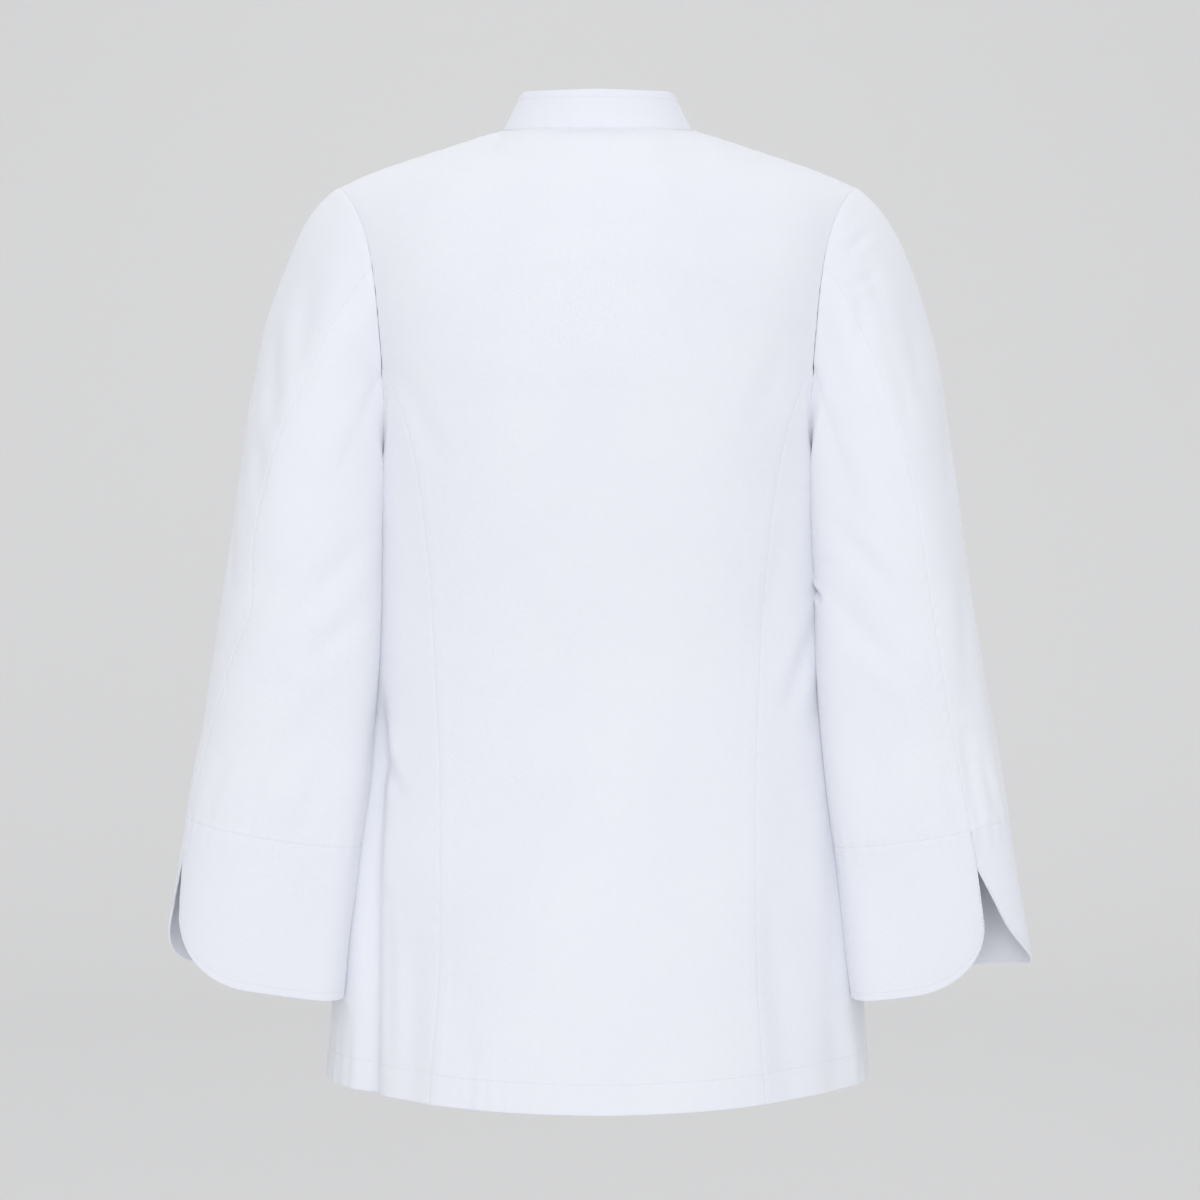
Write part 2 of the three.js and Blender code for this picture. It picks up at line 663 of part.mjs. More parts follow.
// One point of the sleeve head: a curve from the armhole to the first section of the tube.
function headPoint(column, share, turn, hand) {
  const start = LOOP.points[column];
  const away = start.share;
  // Under the arm the sleeve lies beside the body's edge, so it starts a seam's gap further out.
  const aside = HEAD_ASIDE * smooth(0.55, 0.95, away);
  const from = start.point.clone().add(new THREE.Vector3(aside, 0, 0));
  const lead = start.point.y > 0 ? rad(HEAD_LEAD_DEG[hand]) * Math.sin(Math.PI * away) : 0;
  const angle = mix(start.angle - lead, tubeAngle(column, turn), smooth(0, HEAD_TURN, share));
  const end = tubePoint(SLEEVE[0].z, angle);
  const leave = new THREE.Vector3(
    mix(LEAVE.top.out, LEAVE.under.out, away),
    LEAVE.bulge * Math.sin(Math.PI * away) * Math.sign(start.point.y),
    -mix(LEAVE.top.down, LEAVE.under.down, away),
  ).normalize();
  const tilt = rad(SLEEVE[0].tilt);
  const upwards = new THREE.Vector3(-Math.sin(tilt), 0, Math.cos(tilt));
  const distance = from.distanceTo(end);
  const bezier = new THREE.CubicBezierCurve3(
    from,
    from.clone().addScaledVector(leave, REACH.start * distance),
    end.clone().addScaledVector(upwards, REACH.end * distance),
    end,
  );
  return bezier.getPoint(share);
}

// The whole sleeve on the left, as rows of one turn each, with outward normals.
function sleeveRings(hand) {
  const turn = seamTurn[hand];
  const rows = [];
  for (let r = 0; r < CAP_ROWS; r += 1) {
    const share = r / CAP_ROWS;
    rows.push(LOOP.points.map((_, c) => headPoint(c, share, turn(SLEEVE[0].z), hand)));
  }
  for (const z of [SLEEVE[0].z, ...ARM_ROWS]) {
    rows.push(LOOP.points.map((_, c) => tubePoint(z, tubeAngle(c, turn(z)))));
  }
  rows.slice(1).forEach((row) => row.forEach(clearOfBody));
  return rows.map((row, r) =>
    row.map((outer, c) => {
      const before = row[c === 0 ? LOOP_STEPS - 1 : c - 1];
      const after = row[c === LOOP_STEPS ? 1 : c + 1];
      const above = rows[Math.max(r - 1, 0)][c];
      const below = rows[Math.min(r + 1, rows.length - 1)][c];
      const normal = after.clone().sub(before).cross(below.clone().sub(above)).normalize();
      if (r === 0) settle(normal, outer, after.clone().sub(before));
      return { outer, normal };
    }),
  );
}

// At the armhole, keeps the sleeve's edge from leaning into the body's edge.
function settle(normal, point, along) {
  const out = bodyNormal(point).cross(along).normalize();
  const leaning = normal.dot(out);
  if (leaning > 0) normal.addScaledVector(out, -leaning).normalize();
}

const handOf = (side) => (side > 0 ? "left" : "right");

// Turns a grid of the left arm into the same grid of the wanted side.
function onSide(side, grid) {
  if (side > 0) return grid;
  const flip = (v) => new THREE.Vector3(-v.x, v.y, v.z);
  return grid.map((row) => row.map((p) => ({ outer: flip(p.outer), normal: flip(p.normal) })));
}

function sleevePiece(side, isTop) {
  const from = isTop ? 0 : LOOP.topCount;
  const to = isTop ? LOOP.topCount : LOOP_STEPS;
  const rows = sleeveRings(handOf(side)).map((row) => row.slice(from, to + 1));
  return wall(trim(onSide(side, rows)), CLOTH);
}

// A cuff: one band from the far edge of its vent round to the near edge, with rounded lower corners.
function cuff(side) {
  const hand = handOf(side);
  const length = CUFF_TOP_Z - CUFF_END_Z;
  const seam = rad(seamTurn[hand](CUFF_TOP_Z));
  const edges = { near: rad(VENT[hand].near + 360), far: rad(VENT[hand].far) };
  const girth = Math.PI * (sleeveHalf(CUFF_END_Z) + sleeveDepth(CUFF_END_Z)) * CUFF_GIRTH_SHARE;
  const grid = [];
  for (let r = 0; r <= CUFF_ROWS; r += 1) {
    const row = [];
    for (let c = 0; c <= CUFF_STEPS; c += 1) {
      const share = cuffShare(c / CUFF_STEPS);
      const cut = cornerCut(CUFF_CORNER, Math.min(share, 1 - share) * girth);
      const below = Math.max(r - CUFF_ROWS_ABOVE, 0) / (CUFF_ROWS - CUFF_ROWS_ABOVE);
      const down = mix((VENT_TOP * Math.min(r, CUFF_ROWS_ABOVE)) / CUFF_ROWS_ABOVE, length - cut, below);
      const open = clamp((down - VENT_TOP) / (length - VENT_TOP), 0, 1);
      const slit = rad(VENT_SLIT_DEG);
      const far = mix(seam + slit, edges.far, open);
      const near = mix(seam - slit + rad(360), edges.near, open);
      row.push(tubePoint(CUFF_TOP_Z - down, mix(far, near, share)));
    }
    grid.push(row);
  }
  const rows = grid.map((row, r) =>
    row.map((outer, c) => {
      const along = row[Math.min(c + 1, CUFF_STEPS)].clone().sub(row[Math.max(c - 1, 0)]);
      const down = grid[Math.min(r + 1, CUFF_ROWS)][c].clone().sub(grid[Math.max(r - 1, 0)][c]);
      return { outer, normal: along.cross(down).normalize() };
    }),
  );
  const sides = { first: true, last: false, left: false, right: false };
  return wall(trim(onSide(side, rows), sides), CUFF_CLOTH);
}

// Spreads a cuff's columns so that they stand closer together at its rounded corners.
function cuffShare(even) {
  return even - CUFF_CROWDING * Math.sin(2 * Math.PI * even);
}

// A plain button with a slightly domed face, on the upper front.
function button(x, z) {
  const lap = bodyPoint("front", x, z);
  const normal = bodyNormal(lap);
  const profile = [
    [0, 0],
    [BUTTON.radius - 0.6, 0],
    [BUTTON.radius, 0.9],
    [BUTTON.radius - 0.4, BUTTON.height - BUTTON.dome],
    [BUTTON.radius * 0.6, BUTTON.height],
    [0, BUTTON.height],
  ];
  const positions = [];
  const index = [];
  // Where the front curves inwards, the button sits on the cloth at its rim.
  let rise = 0;
  for (let i = 0; i < 8; i += 1) {
    const angle = (rad(360) * i) / 8;
    const rim = bodyPoint("front", x + BUTTON.radius * Math.cos(angle), z + BUTTON.radius * Math.sin(angle));
    rise = Math.max(rise, rim.sub(lap).dot(normal));
  }
  const centre = lap.clone().addScaledVector(normal, LAP_LIFT + BUTTON.gap + 1.7 * rise);
  const turn = new THREE.Quaternion().setFromUnitVectors(new THREE.Vector3(0, 0, 1), normal);
  const place = (r, angle, h) => {
    const local = new THREE.Vector3(r * Math.cos(angle), r * Math.sin(angle), h);
    positions.push(...local.applyQuaternion(turn).add(centre).toArray());
  };
  const rings = profile.slice(1, -1);
  place(0, 0, 0);
  for (const [r, h] of rings) {
    for (let i = 0; i < BUTTON.sides; i += 1) place(r, (rad(360) * i) / BUTTON.sides, h);
  }
  place(0, 0, BUTTON.height);
  const top = positions.length / 3 - 1;
  for (let i = 0; i < BUTTON.sides; i += 1) {
    const next = (i + 1) % BUTTON.sides;
    index.push(0, 1 + next, 1 + i);
    for (let k = 0; k < rings.length - 1; k += 1) {
      const low = 1 + k * BUTTON.sides;
      const high = low + BUTTON.sides;
      index.push(low + i, low + next, high + next, low + i, high + next, high + i);
    }
    const rim = 1 + (rings.length - 1) * BUTTON.sides;
    index.push(rim + i, rim + next, top);
  }
  return facingOut(positions, index);
}

const root = new THREE.Group();

function add(name, geometry, look) {
  const mesh = new THREE.Mesh(geometry, new THREE.MeshStandardMaterial({ ...look, side: THREE.DoubleSide }));
  mesh.name = name;
  root.add(mesh);
}

add("back_panel", backPanel(), WHITE);
add("side_back_left", sideBack(1), WHITE);
add("side_back_right", sideBack(-1), WHITE);
add("front_left", frontPanel(1), WHITE);
add("front_right", frontPanel(-1), WHITE);
add("collar", collar(), WHITE);
for (const [name, side] of [["left", 1], ["right", -1]]) {
  add(`sleeve_top_${name}`, sleevePiece(side, true), WHITE);
  add(`sleeve_under_${name}`, sleevePiece(side, false), WHITE);
  add(`cuff_${name}`, cuff(side), WHITE);
}
for (let i = 0; i < BUTTON.rows; i += 1) {
  const z = BUTTON.firstZ - BUTTON.pitch * i;
  const x = overlapX(z) - BUTTON.inset;
  add(`button_${2 * i + 1}`, button(x, z), PLASTIC);
  add(`button_${2 * i + 2}`, button(-x, z), PLASTIC);
}

export default root;
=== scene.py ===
"""A white chef jacket, filled out as if worn and seen from the back.

Each cut piece is a thin shell of cloth on the form of its solid, with its seams, folds, topstitching
and weave. Lengths in this file are millimetres unless a name or a comment says otherwise; +Z is up, the
front faces -Y and the wearer's left is +X.
"""
import math

import bpy
import numpy as np
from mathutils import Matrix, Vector


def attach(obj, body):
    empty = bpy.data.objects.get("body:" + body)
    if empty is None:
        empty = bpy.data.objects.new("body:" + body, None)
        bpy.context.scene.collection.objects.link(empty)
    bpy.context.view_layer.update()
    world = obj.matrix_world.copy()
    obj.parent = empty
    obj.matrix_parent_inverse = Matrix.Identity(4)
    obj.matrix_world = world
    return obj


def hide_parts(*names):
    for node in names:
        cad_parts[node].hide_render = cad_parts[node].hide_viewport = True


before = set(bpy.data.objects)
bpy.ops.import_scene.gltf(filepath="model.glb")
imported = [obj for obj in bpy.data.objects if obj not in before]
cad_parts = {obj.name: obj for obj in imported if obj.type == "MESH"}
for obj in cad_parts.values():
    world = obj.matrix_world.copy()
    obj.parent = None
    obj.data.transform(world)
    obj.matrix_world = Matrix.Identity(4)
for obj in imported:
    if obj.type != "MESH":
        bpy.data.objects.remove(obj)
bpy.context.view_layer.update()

bl_info = {
    "name": "Chef jacket",
    "version": (1, 0, 0),
    "blender": (4, 5, 0),
    "location": "3D View > Sidebar > Jacket",
    "description": "Builds a double-breasted chef jacket as sewn cloth pieces",
    "category": "Add Mesh",
}

# Body sections: height, half width, depths to the back and to the front, and squareness.
BODY = {
    "z": (-712, -640, -560, -480, -390, -330, -262, -200, -150, -100, -60, 0, 40),
    "half": (206, 199, 190, 177.5, 167, 164.5, 165.5, 172, 180, 190, 200, 212, 220),
    "back": (140.5, 132, 121, 111, 105, 108, 114, 118, 120, 120, 118, 115, 112),
    "front": (130, 126, 121, 117, 117, 123, 132, 135, 130, 120, 110, 104, 100),
    "square": (1.9, 1.85, 1.95, 2.05, 2.15, 2.2, 2.25, 2.3, 2.3, 2.3, 2.3, 2.3, 2.3),
}
HEM_Z = -712
HEM_DEPTH = 23
UNDERARM_Z = -262
PRINCESS_TOP_Z = -172
SHOULDER_X = 191
RIDGE = {
    "x": (0, 35, 70, 116, 158, 191, 215),
    "z": (13, 9.5, 0, -14.5, -28.2, -41.8, -54),
}
ROUND = {"back": (110, 2.2), "front": (230, 1.8)}  # drop and curve exponent over the shoulder
SIGN = {"back": 1, "front": -1}
NECK = {"half": 70, "back": 54, "front": 69}
NECK_FRONT_DEG = (0, 11.4, 22.8, 34.2, 45.6, 60.4, 75.2, 90)
NECK_BACK_DEG = (0, 18, 36, 54, 72, 90)
SHOULDER_STEPS = 5
LAP_STEPS = 4
COLLAR = {"half": 58.5, "back": 49.5, "front": 60, "back_z": 31, "side_z": 29, "front_z": -24}
COLLAR_GAP = 10
COLLAR_CORNER = 11
PRINCESS = {
    "z": (-712, -600, -482, -400, -342, -283, -235, -205, -185, -172),
    "x": (124, 117, 116, 119, 122, 127, 133.5, 141, 149, 157.6),
}
ARMHOLE_X = {
    "z": (-230, -180, -143, -113, -81, -60, -49, -41.8),
    "back": (158, 157.5, 159.5, 162, 167.5, 175.5, 183, 191),
    "front": (150, 147, 148.5, 153, 162, 172, 181, 191),
}
ARMHOLE_Y = {
    "z": (-262, -259, -252, -238, -218, -195, -172),
    "back": (0, 16, 30, 45, 54, 59.5, 61.5),
    "front": (0, 24, 42, 60, 70, 73, 72),
}
FRONT_LOWER_FROM = -205
OVERLAP = {"z": (-712, -300, -160, -90, -20), "x": (78, 78, 75, 64, 50)}
LAP_LIFT = 1.8
LAP_RAMP = 36
BUTTON = {"inset": 20, "first_z": -96, "pitch": 94, "rows": 5}
SLEEVE = {
    "z": (-632, -518, -480, -391, -350, -310),
    "x": (258.6, 241.9, 236.2, 224.2, 220.1, 216.2),
    "y": (51, 43.3, 40, 33, 29.5, 26),
    "half": (69, 66.1, 65.4, 61.7, 59.6, 57.4),
    "depth": (36, 40.8, 44, 53, 56, 59),
    "tilt": (9.5, 9, 9, 8, 7.5, 7),
    "left": (74, 74, 67, 48, 36, 41),
    "right": (32, 32, 30, 27, 25.5, 24),
}
SLEEVE_TOP_Z = -310
FRONT_SEAM_DEG = 205
SEAM_ON_ARMHOLE = (30.6, 205.0)  # degrees round the armhole where the back and front sleeve seams start
LEAVE = {"out": (0.89, 0.12), "down": (0.46, 0.99), "bulge": 0.22}  # how the sleeve leaves, top and underarm
REACH = (0.21, 0.36)  # length of the sleeve head's two handles, in parts of its chord
HEAD_TURN = 0.8  # share of the sleeve head's length over which its angles turn to those of the tube
HEAD_LEAD = {"left": 0, "right": 18}  # degrees that the back of the sleeve head leads towards the body
CUFF_TOP_Z = -518
CUFF_END_Z = -632
CUFF_GIRTH_SHARE = 0.92  # the cuff's mean girth in parts of half width plus depth at its end, times pi
VENT_TOP = 29
VENT_SLIT_DEG = 0.03
VENT = {"left": (50, 96), "right": (30, 63)}  # degrees of the vent's near and far edge at the cuff's end
CUFF_CORNER = 46
FULLNESS = {
    "down": (172, 200, 240, 330, 480, 600, 650, 712),
    "out": (0, 4, 6.5, 7.5, 7.5, 10, 9, 7),
}  # how far the sides swell behind the sleeves, by the distance below the shoulders
FULLNESS_DEG = 76
SLEEVE_SQUARED = 6.5
SLEEVE_SQUARED_DEG = 306

# Creases of the body: ends as degrees round from the back (plus is the wearer's left) and height,
# depth (minus is a trough) and width.
BODY_CREASES = (
    (79, -424, 66, -486, -2.6, 5),
    (80, -440, 72, -476, -1.4, 6),
    (-75, -360, -67, -418, -2.6, 7),
    (-80, -382, -73, -440, -1.5, 8),
    (66, -560, 61, -690, -1.3, 3.5),
    (57, -600, 55, -716, -1.4, 7),
    (47, -640, 47, -716, 1.2, 8),
    (38, -660, 38, -716, -0.9, 7),
    (-55, -560, -56, -716, -1.9, 10),
    (-62, -300, -57, -380, -1.1, 9),
    (-74, -655, -77, -716, 1.3, 6),
    (60, -180, 52, -235, -1.0, 8),
    (-58, -150, -50, -215, -1.0, 9),
    (22, -40, 40, -62, -0.8, 9),
    (-30, -48, -52, -76, -0.9, 9),
    (85, -300, 100, -372, -1.8, 8),
    (88, -330, 108, -410, -1.3, 7),
    (-86, -310, -101, -384, -1.8, 8),
    (-90, -345, -110, -418, -1.3, 7),
    (96, -560, 98, -716, -2.2, 10),
    (-97, -540, -99, -716, -2.3, 10),
    (118, -600, 117, -716, -1.6, 11),
    (-121, -590, -119, -716, -1.7, 12),
    (127, -225, 148, -262, -1.4, 9),
    (-128, -222, -149, -266, -1.5, 9),
    (140, -96, 128, -152, -1.2, 10),
    (-139, -102, -127, -160, -1.2, 10),
)
# Deep folds of the sides: side, heights where they start and are full, degrees round from the back where
# they start and at the hem, depth, the share of it left at the hem, and width in degrees.
SIDE_FOLDS = (
    (1, -400, -450, 75, 66, 9, 0.9, 2.4),
    (-1, -470, -560, 76, 69, 2.5, 0.9, 3.2),
)
# Small puckers of the hem: degrees from, degrees to, height reached, depth and spacing in degrees.
HEM_PUCKERS = ((62, 90, 34, 1.2, 2.9), (-90, -70, 34, 0.8, 3.4), (20, 44, 26, 0.3, 4.2))
# Creases of the sleeves: degrees from the sleeve's back (plus is outwards) and height at both ends,
# depth and width.
SLEEVE_CREASES = {
    "left": (
        (40, -88, 26, -136, -1.5, 6),
        (60, -108, 44, -170, -1.6, 7),
        (74, -150, 50, -214, -1.8, 7),
        (30, -150, 38, -196, -1.2, 6),
        (62, -220, 44, -262, -1.5, 7),
        (10, -196, 22, -262, -0.9, 8),
        (84, -280, 62, -330, -1.3, 8),
        (20, -330, 52, -372, -1.1, 9),
        (-42, -300, 2, -352, -1.7, 9),
        (-52, -344, -12, -384, -1.3, 8),
        (-20, -420, 10, -486, -1.1, 10),
        (40, -462, 52, -510, -1.0, 6),
        (12, -478, 16, -512, -0.8, 5),
        (-24, -470, -20, -511, -0.8, 6),
        (180, -296, 226, -340, -2.4, 10),
        (170, -330, 232, -372, -2.0, 9),
        (160, -262, 214, -300, -1.9, 10),
        (150, -420, 190, -462, -1.4, 10),
        (140, -110, 158, -170, -1.4, 8),
        (118, -84, 132, -140, -1.2, 8),
        (200, -200, 236, -246, -1.6, 8),
    ),
    "right": (
        (36, -86, 56, -74, -1.7, 3),
        (25, -111, 42, -105, -1.4, 3),
        (26, -122, 16, -150, -1.5, 5),
        (44, -94, 36, -130, -1.1, 5),
        (-60, -341, -94, -326, -5.5, 3.2),
        (12, -150, 20, -222, -1.9, 6),
        (34, -170, 30, -226, -1.3, 7),
        (60, -130, 48, -190, -1.4, 8),
        (4, -238, 24, -300, -1.2, 8),
        (78, -196, 62, -262, -1.2, 8),
        (-38, -288, -6, -330, -1.4, 8),
        (-46, -340, -4, -392, -1.7, 9),
        (60, -330, 46, -420, -1.2, 9),
        (40, -440, 37, -505, -1.5, 6),
        (52, -462, 60, -510, -1.3, 6),
        (20, -470, 25, -511, -0.9, 5),
        (2, -486, 4, -512, -0.7, 5),
        (-14, -410, 8, -470, -1.0, 10),
        (182, -300, 230, -350, -2.3, 10),
        (172, -338, 226, -380, -2.0, 9),
        (158, -254, 210, -296, -1.8, 10),
        (148, -430, 186, -470, -1.4, 10),
        (142, -104, 160, -162, -1.4, 8),
        (116, -90, 130, -150, -1.2, 8),
        (198, -206, 238, -240, -1.6, 8),
    ),
}


def smooth(start, end, value):
    """Rises from 0 to 1 between start and end as t * t * (3 - 2 t)."""
    t = np.clip((value - start) / (end - start), 0, 1)
    return t * t * (3 - 2 * t)


def mix(a, b, share):
    """a plus a share of the way to b."""
    return a + (b - a) * share


def table_curve(table, key, column):
    """A monotone cubic through a table's rows: its slope at a row is the harmonic mean of its neighbours'."""
    order = np.argsort(table[key])
    at = np.asarray(table[key], float)[order]
    value = np.asarray(table[column], float)[order]
    slope = np.diff(value) / np.diff(at)
    tangent = np.concatenate([slope[:1], slope[:-1], slope[-1:]])
    product = slope[:-1] * slope[1:]
    total = slope[:-1] + slope[1:]
    total[product <= 0] = 1
    tangent[1:-1] = np.where(product <= 0, 0, 2 * product / total)

    def evaluate(x):
        x = np.clip(x, at[0], at[-1])
        i = np.clip(np.searchsorted(at, x, side="right") - 1, 0, len(at) - 2)
        width = at[i + 1] - at[i]
        t = (x - at[i]) / width
        rise = 3 * t**2 - 2 * t**3
        return (
            mix(value[i], value[i + 1], rise)
            + (t**3 - 2 * t**2 + t) * width * tangent[i]
            + (t**3 - t**2) * width * tangent[i + 1]
        )

    return evaluate


body_half = table_curve(BODY, "z", "half")
body_square = table_curve(BODY, "z", "square")
body_depth = {face: table_curve(BODY, "z", face) for face in SIGN}
ridge_z = table_curve(RIDGE, "x", "z")
princess_x = table_curve(PRINCESS, "z", "x")
armhole_x = {face: table_curve(ARMHOLE_X, "z", face) for face in SIGN}
armhole_y = {face: table_curve(ARMHOLE_Y, "z", face) for face in SIGN}
overlap_x = table_curve(OVERLAP, "z", "x")
sleeve_at = {column: table_curve(SLEEVE, "z", column) for column in SLEEVE if column != "z"}


def points(x, y, z):
    """Three arrays as one array of points."""
    return np.stack(np.broadcast_arrays(x, y, z), axis=-1).astype(float)


def ring_depth(face, x, z):
    """Depth of the body's ring at x: depth * (1 - |x / half| ** n) ** (1 / n)."""
    n = body_square(z)
    inside = np.maximum(1 - (np.abs(x) / body_half(z)) ** n, 0)
    return body_depth[face](z) * inside ** (1 / n)


def body_point(face, x, z):
    """The ring's point, rounded over the shoulder: depth * (1 - (1 - drop / full) ** p) ** (1 / p)."""
    full, power = ROUND[face]
    rest = np.clip(1 - (ridge_z(np.abs(x)) - z) / full, 0, 1)
    share = (1 - rest**power) ** (1 / power)
    return points(x, SIGN[face] * ring_depth(face, x, z) * share, z)


def shoulder_point(face, x, angle):
    """The same surface by the angle round the shoulder, 0 on the ridge and a right angle where it ends."""
    drop, power = ROUND[face]
    z = ridge_z(np.abs(x)) - drop * (1 - np.maximum(np.cos(angle), 0) ** (2 / power))
    y = SIGN[face] * ring_depth(face, x, z) * np.sin(angle) ** (2 / power)
    return points(x, y, z)


def ring_x(face, y, z):
    """Half width of the body's ring at a depth y."""
    n = body_square(z)
    share = np.maximum(1 - (np.abs(y) / body_depth[face](z)) ** n, 0) ** (1 / n)
    return body_half(z) * share


def ring_angle(face, x, z):
    """Angle of a ring's point from the middle plane, in units of the ring's own depths."""
    return np.arctan2(x / body_half(z), ring_depth(face, x, z) / body_depth[face](z))


def outwards(z, angle):
    """How far out a ring of unit size reaches at an angle."""
    n = body_square(z)
    reach = (np.sin(angle) ** n + np.maximum(np.cos(angle), 0) ** n) ** (-1 / n)
    return reach * np.sin(angle)


def edge_x(face, z):
    """The armhole edge's distance from the centre line: the upper table, then the lower one."""
    lower_from = FRONT_LOWER_FROM if face == "front" else PRINCESS_TOP_Z
    lower = ring_x(face, armhole_y[face](z), z)
    return mix(armhole_x[face](z), lower, smooth(lower_from, lower_from - 12, z))


def edge_at_drop(face, down):
    """The same where the edge has dropped by down below the ridge, found by repeated halfway steps."""
    x = np.full_like(np.asarray(down, float), SHOULDER_X)
    for _ in range(40):
        x = mix(x, edge_x(face, ridge_z(x) - down), 0.6)
    return x


def neckline_angle(face, x):
    """The angle round the shoulder where the neckline's ellipse cuts the surface."""
    depth = NECK[face] * np.sqrt(np.maximum(1 - (x / NECK["half"]) ** 2, 0))
    drop, power = ROUND[face]
    angle = np.full_like(np.asarray(x, float), 0.3)
    for _ in range(60):
        z = ridge_z(x) - drop * (1 - np.cos(angle) ** (2 / power))
        share = np.clip(depth / ring_depth(face, x, z), 0, 1)
        angle = mix(angle, np.arcsin(share ** (power / 2)), 0.5)
    return angle


NECK_DEG = {"back": NECK_BACK_DEG, "front": NECK_FRONT_DEG}
COLUMNS = {face: len(NECK_DEG[face]) - 1 + SHOULDER_STEPS for face in SIGN}


def station_x(face, column):
    """Where a column meets the neckline or the shoulder seam."""
    last = len(NECK_DEG[face]) - 1
    on_neck = NECK["half"] * np.sin(np.radians(np.interp(column, range(last + 1), NECK_DEG[face])))
    on_shoulder = mix(NECK["half"], SHOULDER_X, (column - last) / SHOULDER_STEPS)
    return np.where(column <= last, on_neck, on_shoulder)


def column_share(face, column, lap):
    """How far along a lower row a column stands; the front's first columns end at the front edge."""
    if face == "back":
        return column / COLUMNS[face] + 0 * lap
    past = mix(lap, 1, (column - LAP_STEPS) / (COLUMNS[face] - LAP_STEPS))
    return np.where(column <= LAP_STEPS, lap * column / LAP_STEPS, past)


def shoulder_rows(face, shares, column):
    """Rows over the shoulder: from the neckline and shoulder seam to the level where the rounding ends."""
    drop, power = ROUND[face]
    shares = shares[:, None]
    down = drop * (1 - np.cos(np.radians(90) * shares) ** (2 / power))
    edge = edge_at_drop(face, down)
    z = ridge_z(edge) - down
    whole = ring_angle(face, edge, z)
    lap = ring_angle(face, overlap_x(ridge_z(50) - down), z) / whole
    turned = outwards(z, whole * column_share(face, column, lap)) / outwards(z, whole)
    station = station_x(face, column)
    x = edge * mix(station / SHOULDER_X, turned, smooth(0, 1, shares))
    start = np.where(station < NECK["half"], neckline_angle(face, np.minimum(station, NECK["half"])), 0)
    return shoulder_point(face, x, mix(start, np.radians(90), shares))


def even_shares(face, distances):
    """Turns distances down from the shoulder seam into the shares that shoulder_rows reads."""
    dense = np.linspace(0, 1, 400)
    path = shoulder_point(face, np.full(400, 110.0), np.radians(90) * dense)
    along = np.concatenate([[0], np.cumsum(np.linalg.norm(np.diff(path, axis=0), axis=1))])
    return np.interp(np.asarray(distances) * along[-1], along, dense)


FINE_EDGE = np.array([0, 0.15, 0.4, 0.8, 1.5, 2.6, 4.2])


def graded(length, cell, both=True):
    """Places from 0 to 1 with cells of the given size that grow small towards the ends of the length."""
    start = FINE_EDGE
    end = length - FINE_EDGE[::-1] if both else np.array([length])
    count = max(int(round((end[0] - start[-1]) / cell)), 1)
    middle = np.linspace(start[-1], end[0], count + 1)[1:-1]
    return np.concatenate([start, middle, end]) / length


def normals(grid, inside):
    """Unit normals of a grid, from the differences along its rows and columns, turned away from inside."""
    normal = np.cross(np.gradient(grid, axis=1), np.gradient(grid, axis=0))
    normal /= np.maximum(np.linalg.norm(normal, axis=-1, keepdims=True), 1e-12)
    return normal if (normal * (grid - inside)).sum() > 0 else -normal


def border_distances(grid):
    """Distance of each point from the first row, last row, first column and last column, along the cloth."""
    across = np.linalg.norm(np.diff(grid, axis=1), axis=-1)
    down = np.linalg.norm(np.diff(grid, axis=0), axis=-1)
    left = np.pad(np.cumsum(across, axis=1), ((0, 0), (1, 0)))
    top = np.pad(np.cumsum(down, axis=0), ((1, 0), (0, 0)))
    return {"top": top, "bottom": top[-1:] - top, "left": left, "right": left[:, -1:] - left}


def from_segment(a, b, start, end):
    """Distance of points (a, b) from the straight line between two points, growing faster past its ends."""
    way = np.subtract(end, start)
    t = ((a - start[0]) * way[0] + (b - start[1]) * way[1]) / (way @ way)
    inside = np.clip(t, 0, 1)
    aside = np.hypot(a - start[0] - inside * way[0], b - start[1] - inside * way[1])
    fade = np.sin(np.pi * np.clip(0.5 * inside + 0.25, 0, 1)) ** 2
    return aside, fade


def crease_depth(a, b, creases, scale):
    """Soft troughs with low ridges beside them: each is a bell across its line that fades at both ends."""
    total = np.zeros_like(a)
    for a0, b0, a1, b1, depth, width in creases:
        aside, fade = from_segment(a * scale, b, (a0 * scale, b0), (a1 * scale, b1))
        q = aside / width
        total += depth * fade * (np.exp(-(q**2)) - 0.3 * np.exp(-((q - 1.9) ** 2)))
    return total


def undulation(a, b, seed, size, depth):
    """Slow unevenness: a sum of six waves of random direction, length and phase."""
    random = np.random.default_rng(seed)
    total = np.zeros_like(a)
    for _ in range(6):
        turn = random.uniform(0, np.pi)
        length = size * random.uniform(0.6, 1.8)
        phase = random.uniform(0, 2 * np.pi)
        total += np.sin(2 * np.pi * (a * np.cos(turn) + b * np.sin(turn)) / length + phase)
    return total * depth / 3


def pucker(distance, along, seed, reach=7.0, depth=0.16):
    """Fine unevenness of the cloth beside a line of stitching."""
    random = np.random.default_rng(seed)
    total = np.zeros_like(along)
    for _ in range(5):
        length = random.uniform(6, 19)
        total += np.sin(2 * np.pi * along / length + random.uniform(0, 2 * np.pi))
    return depth * total / 2.2 * np.exp(-((distance / reach) ** 2))


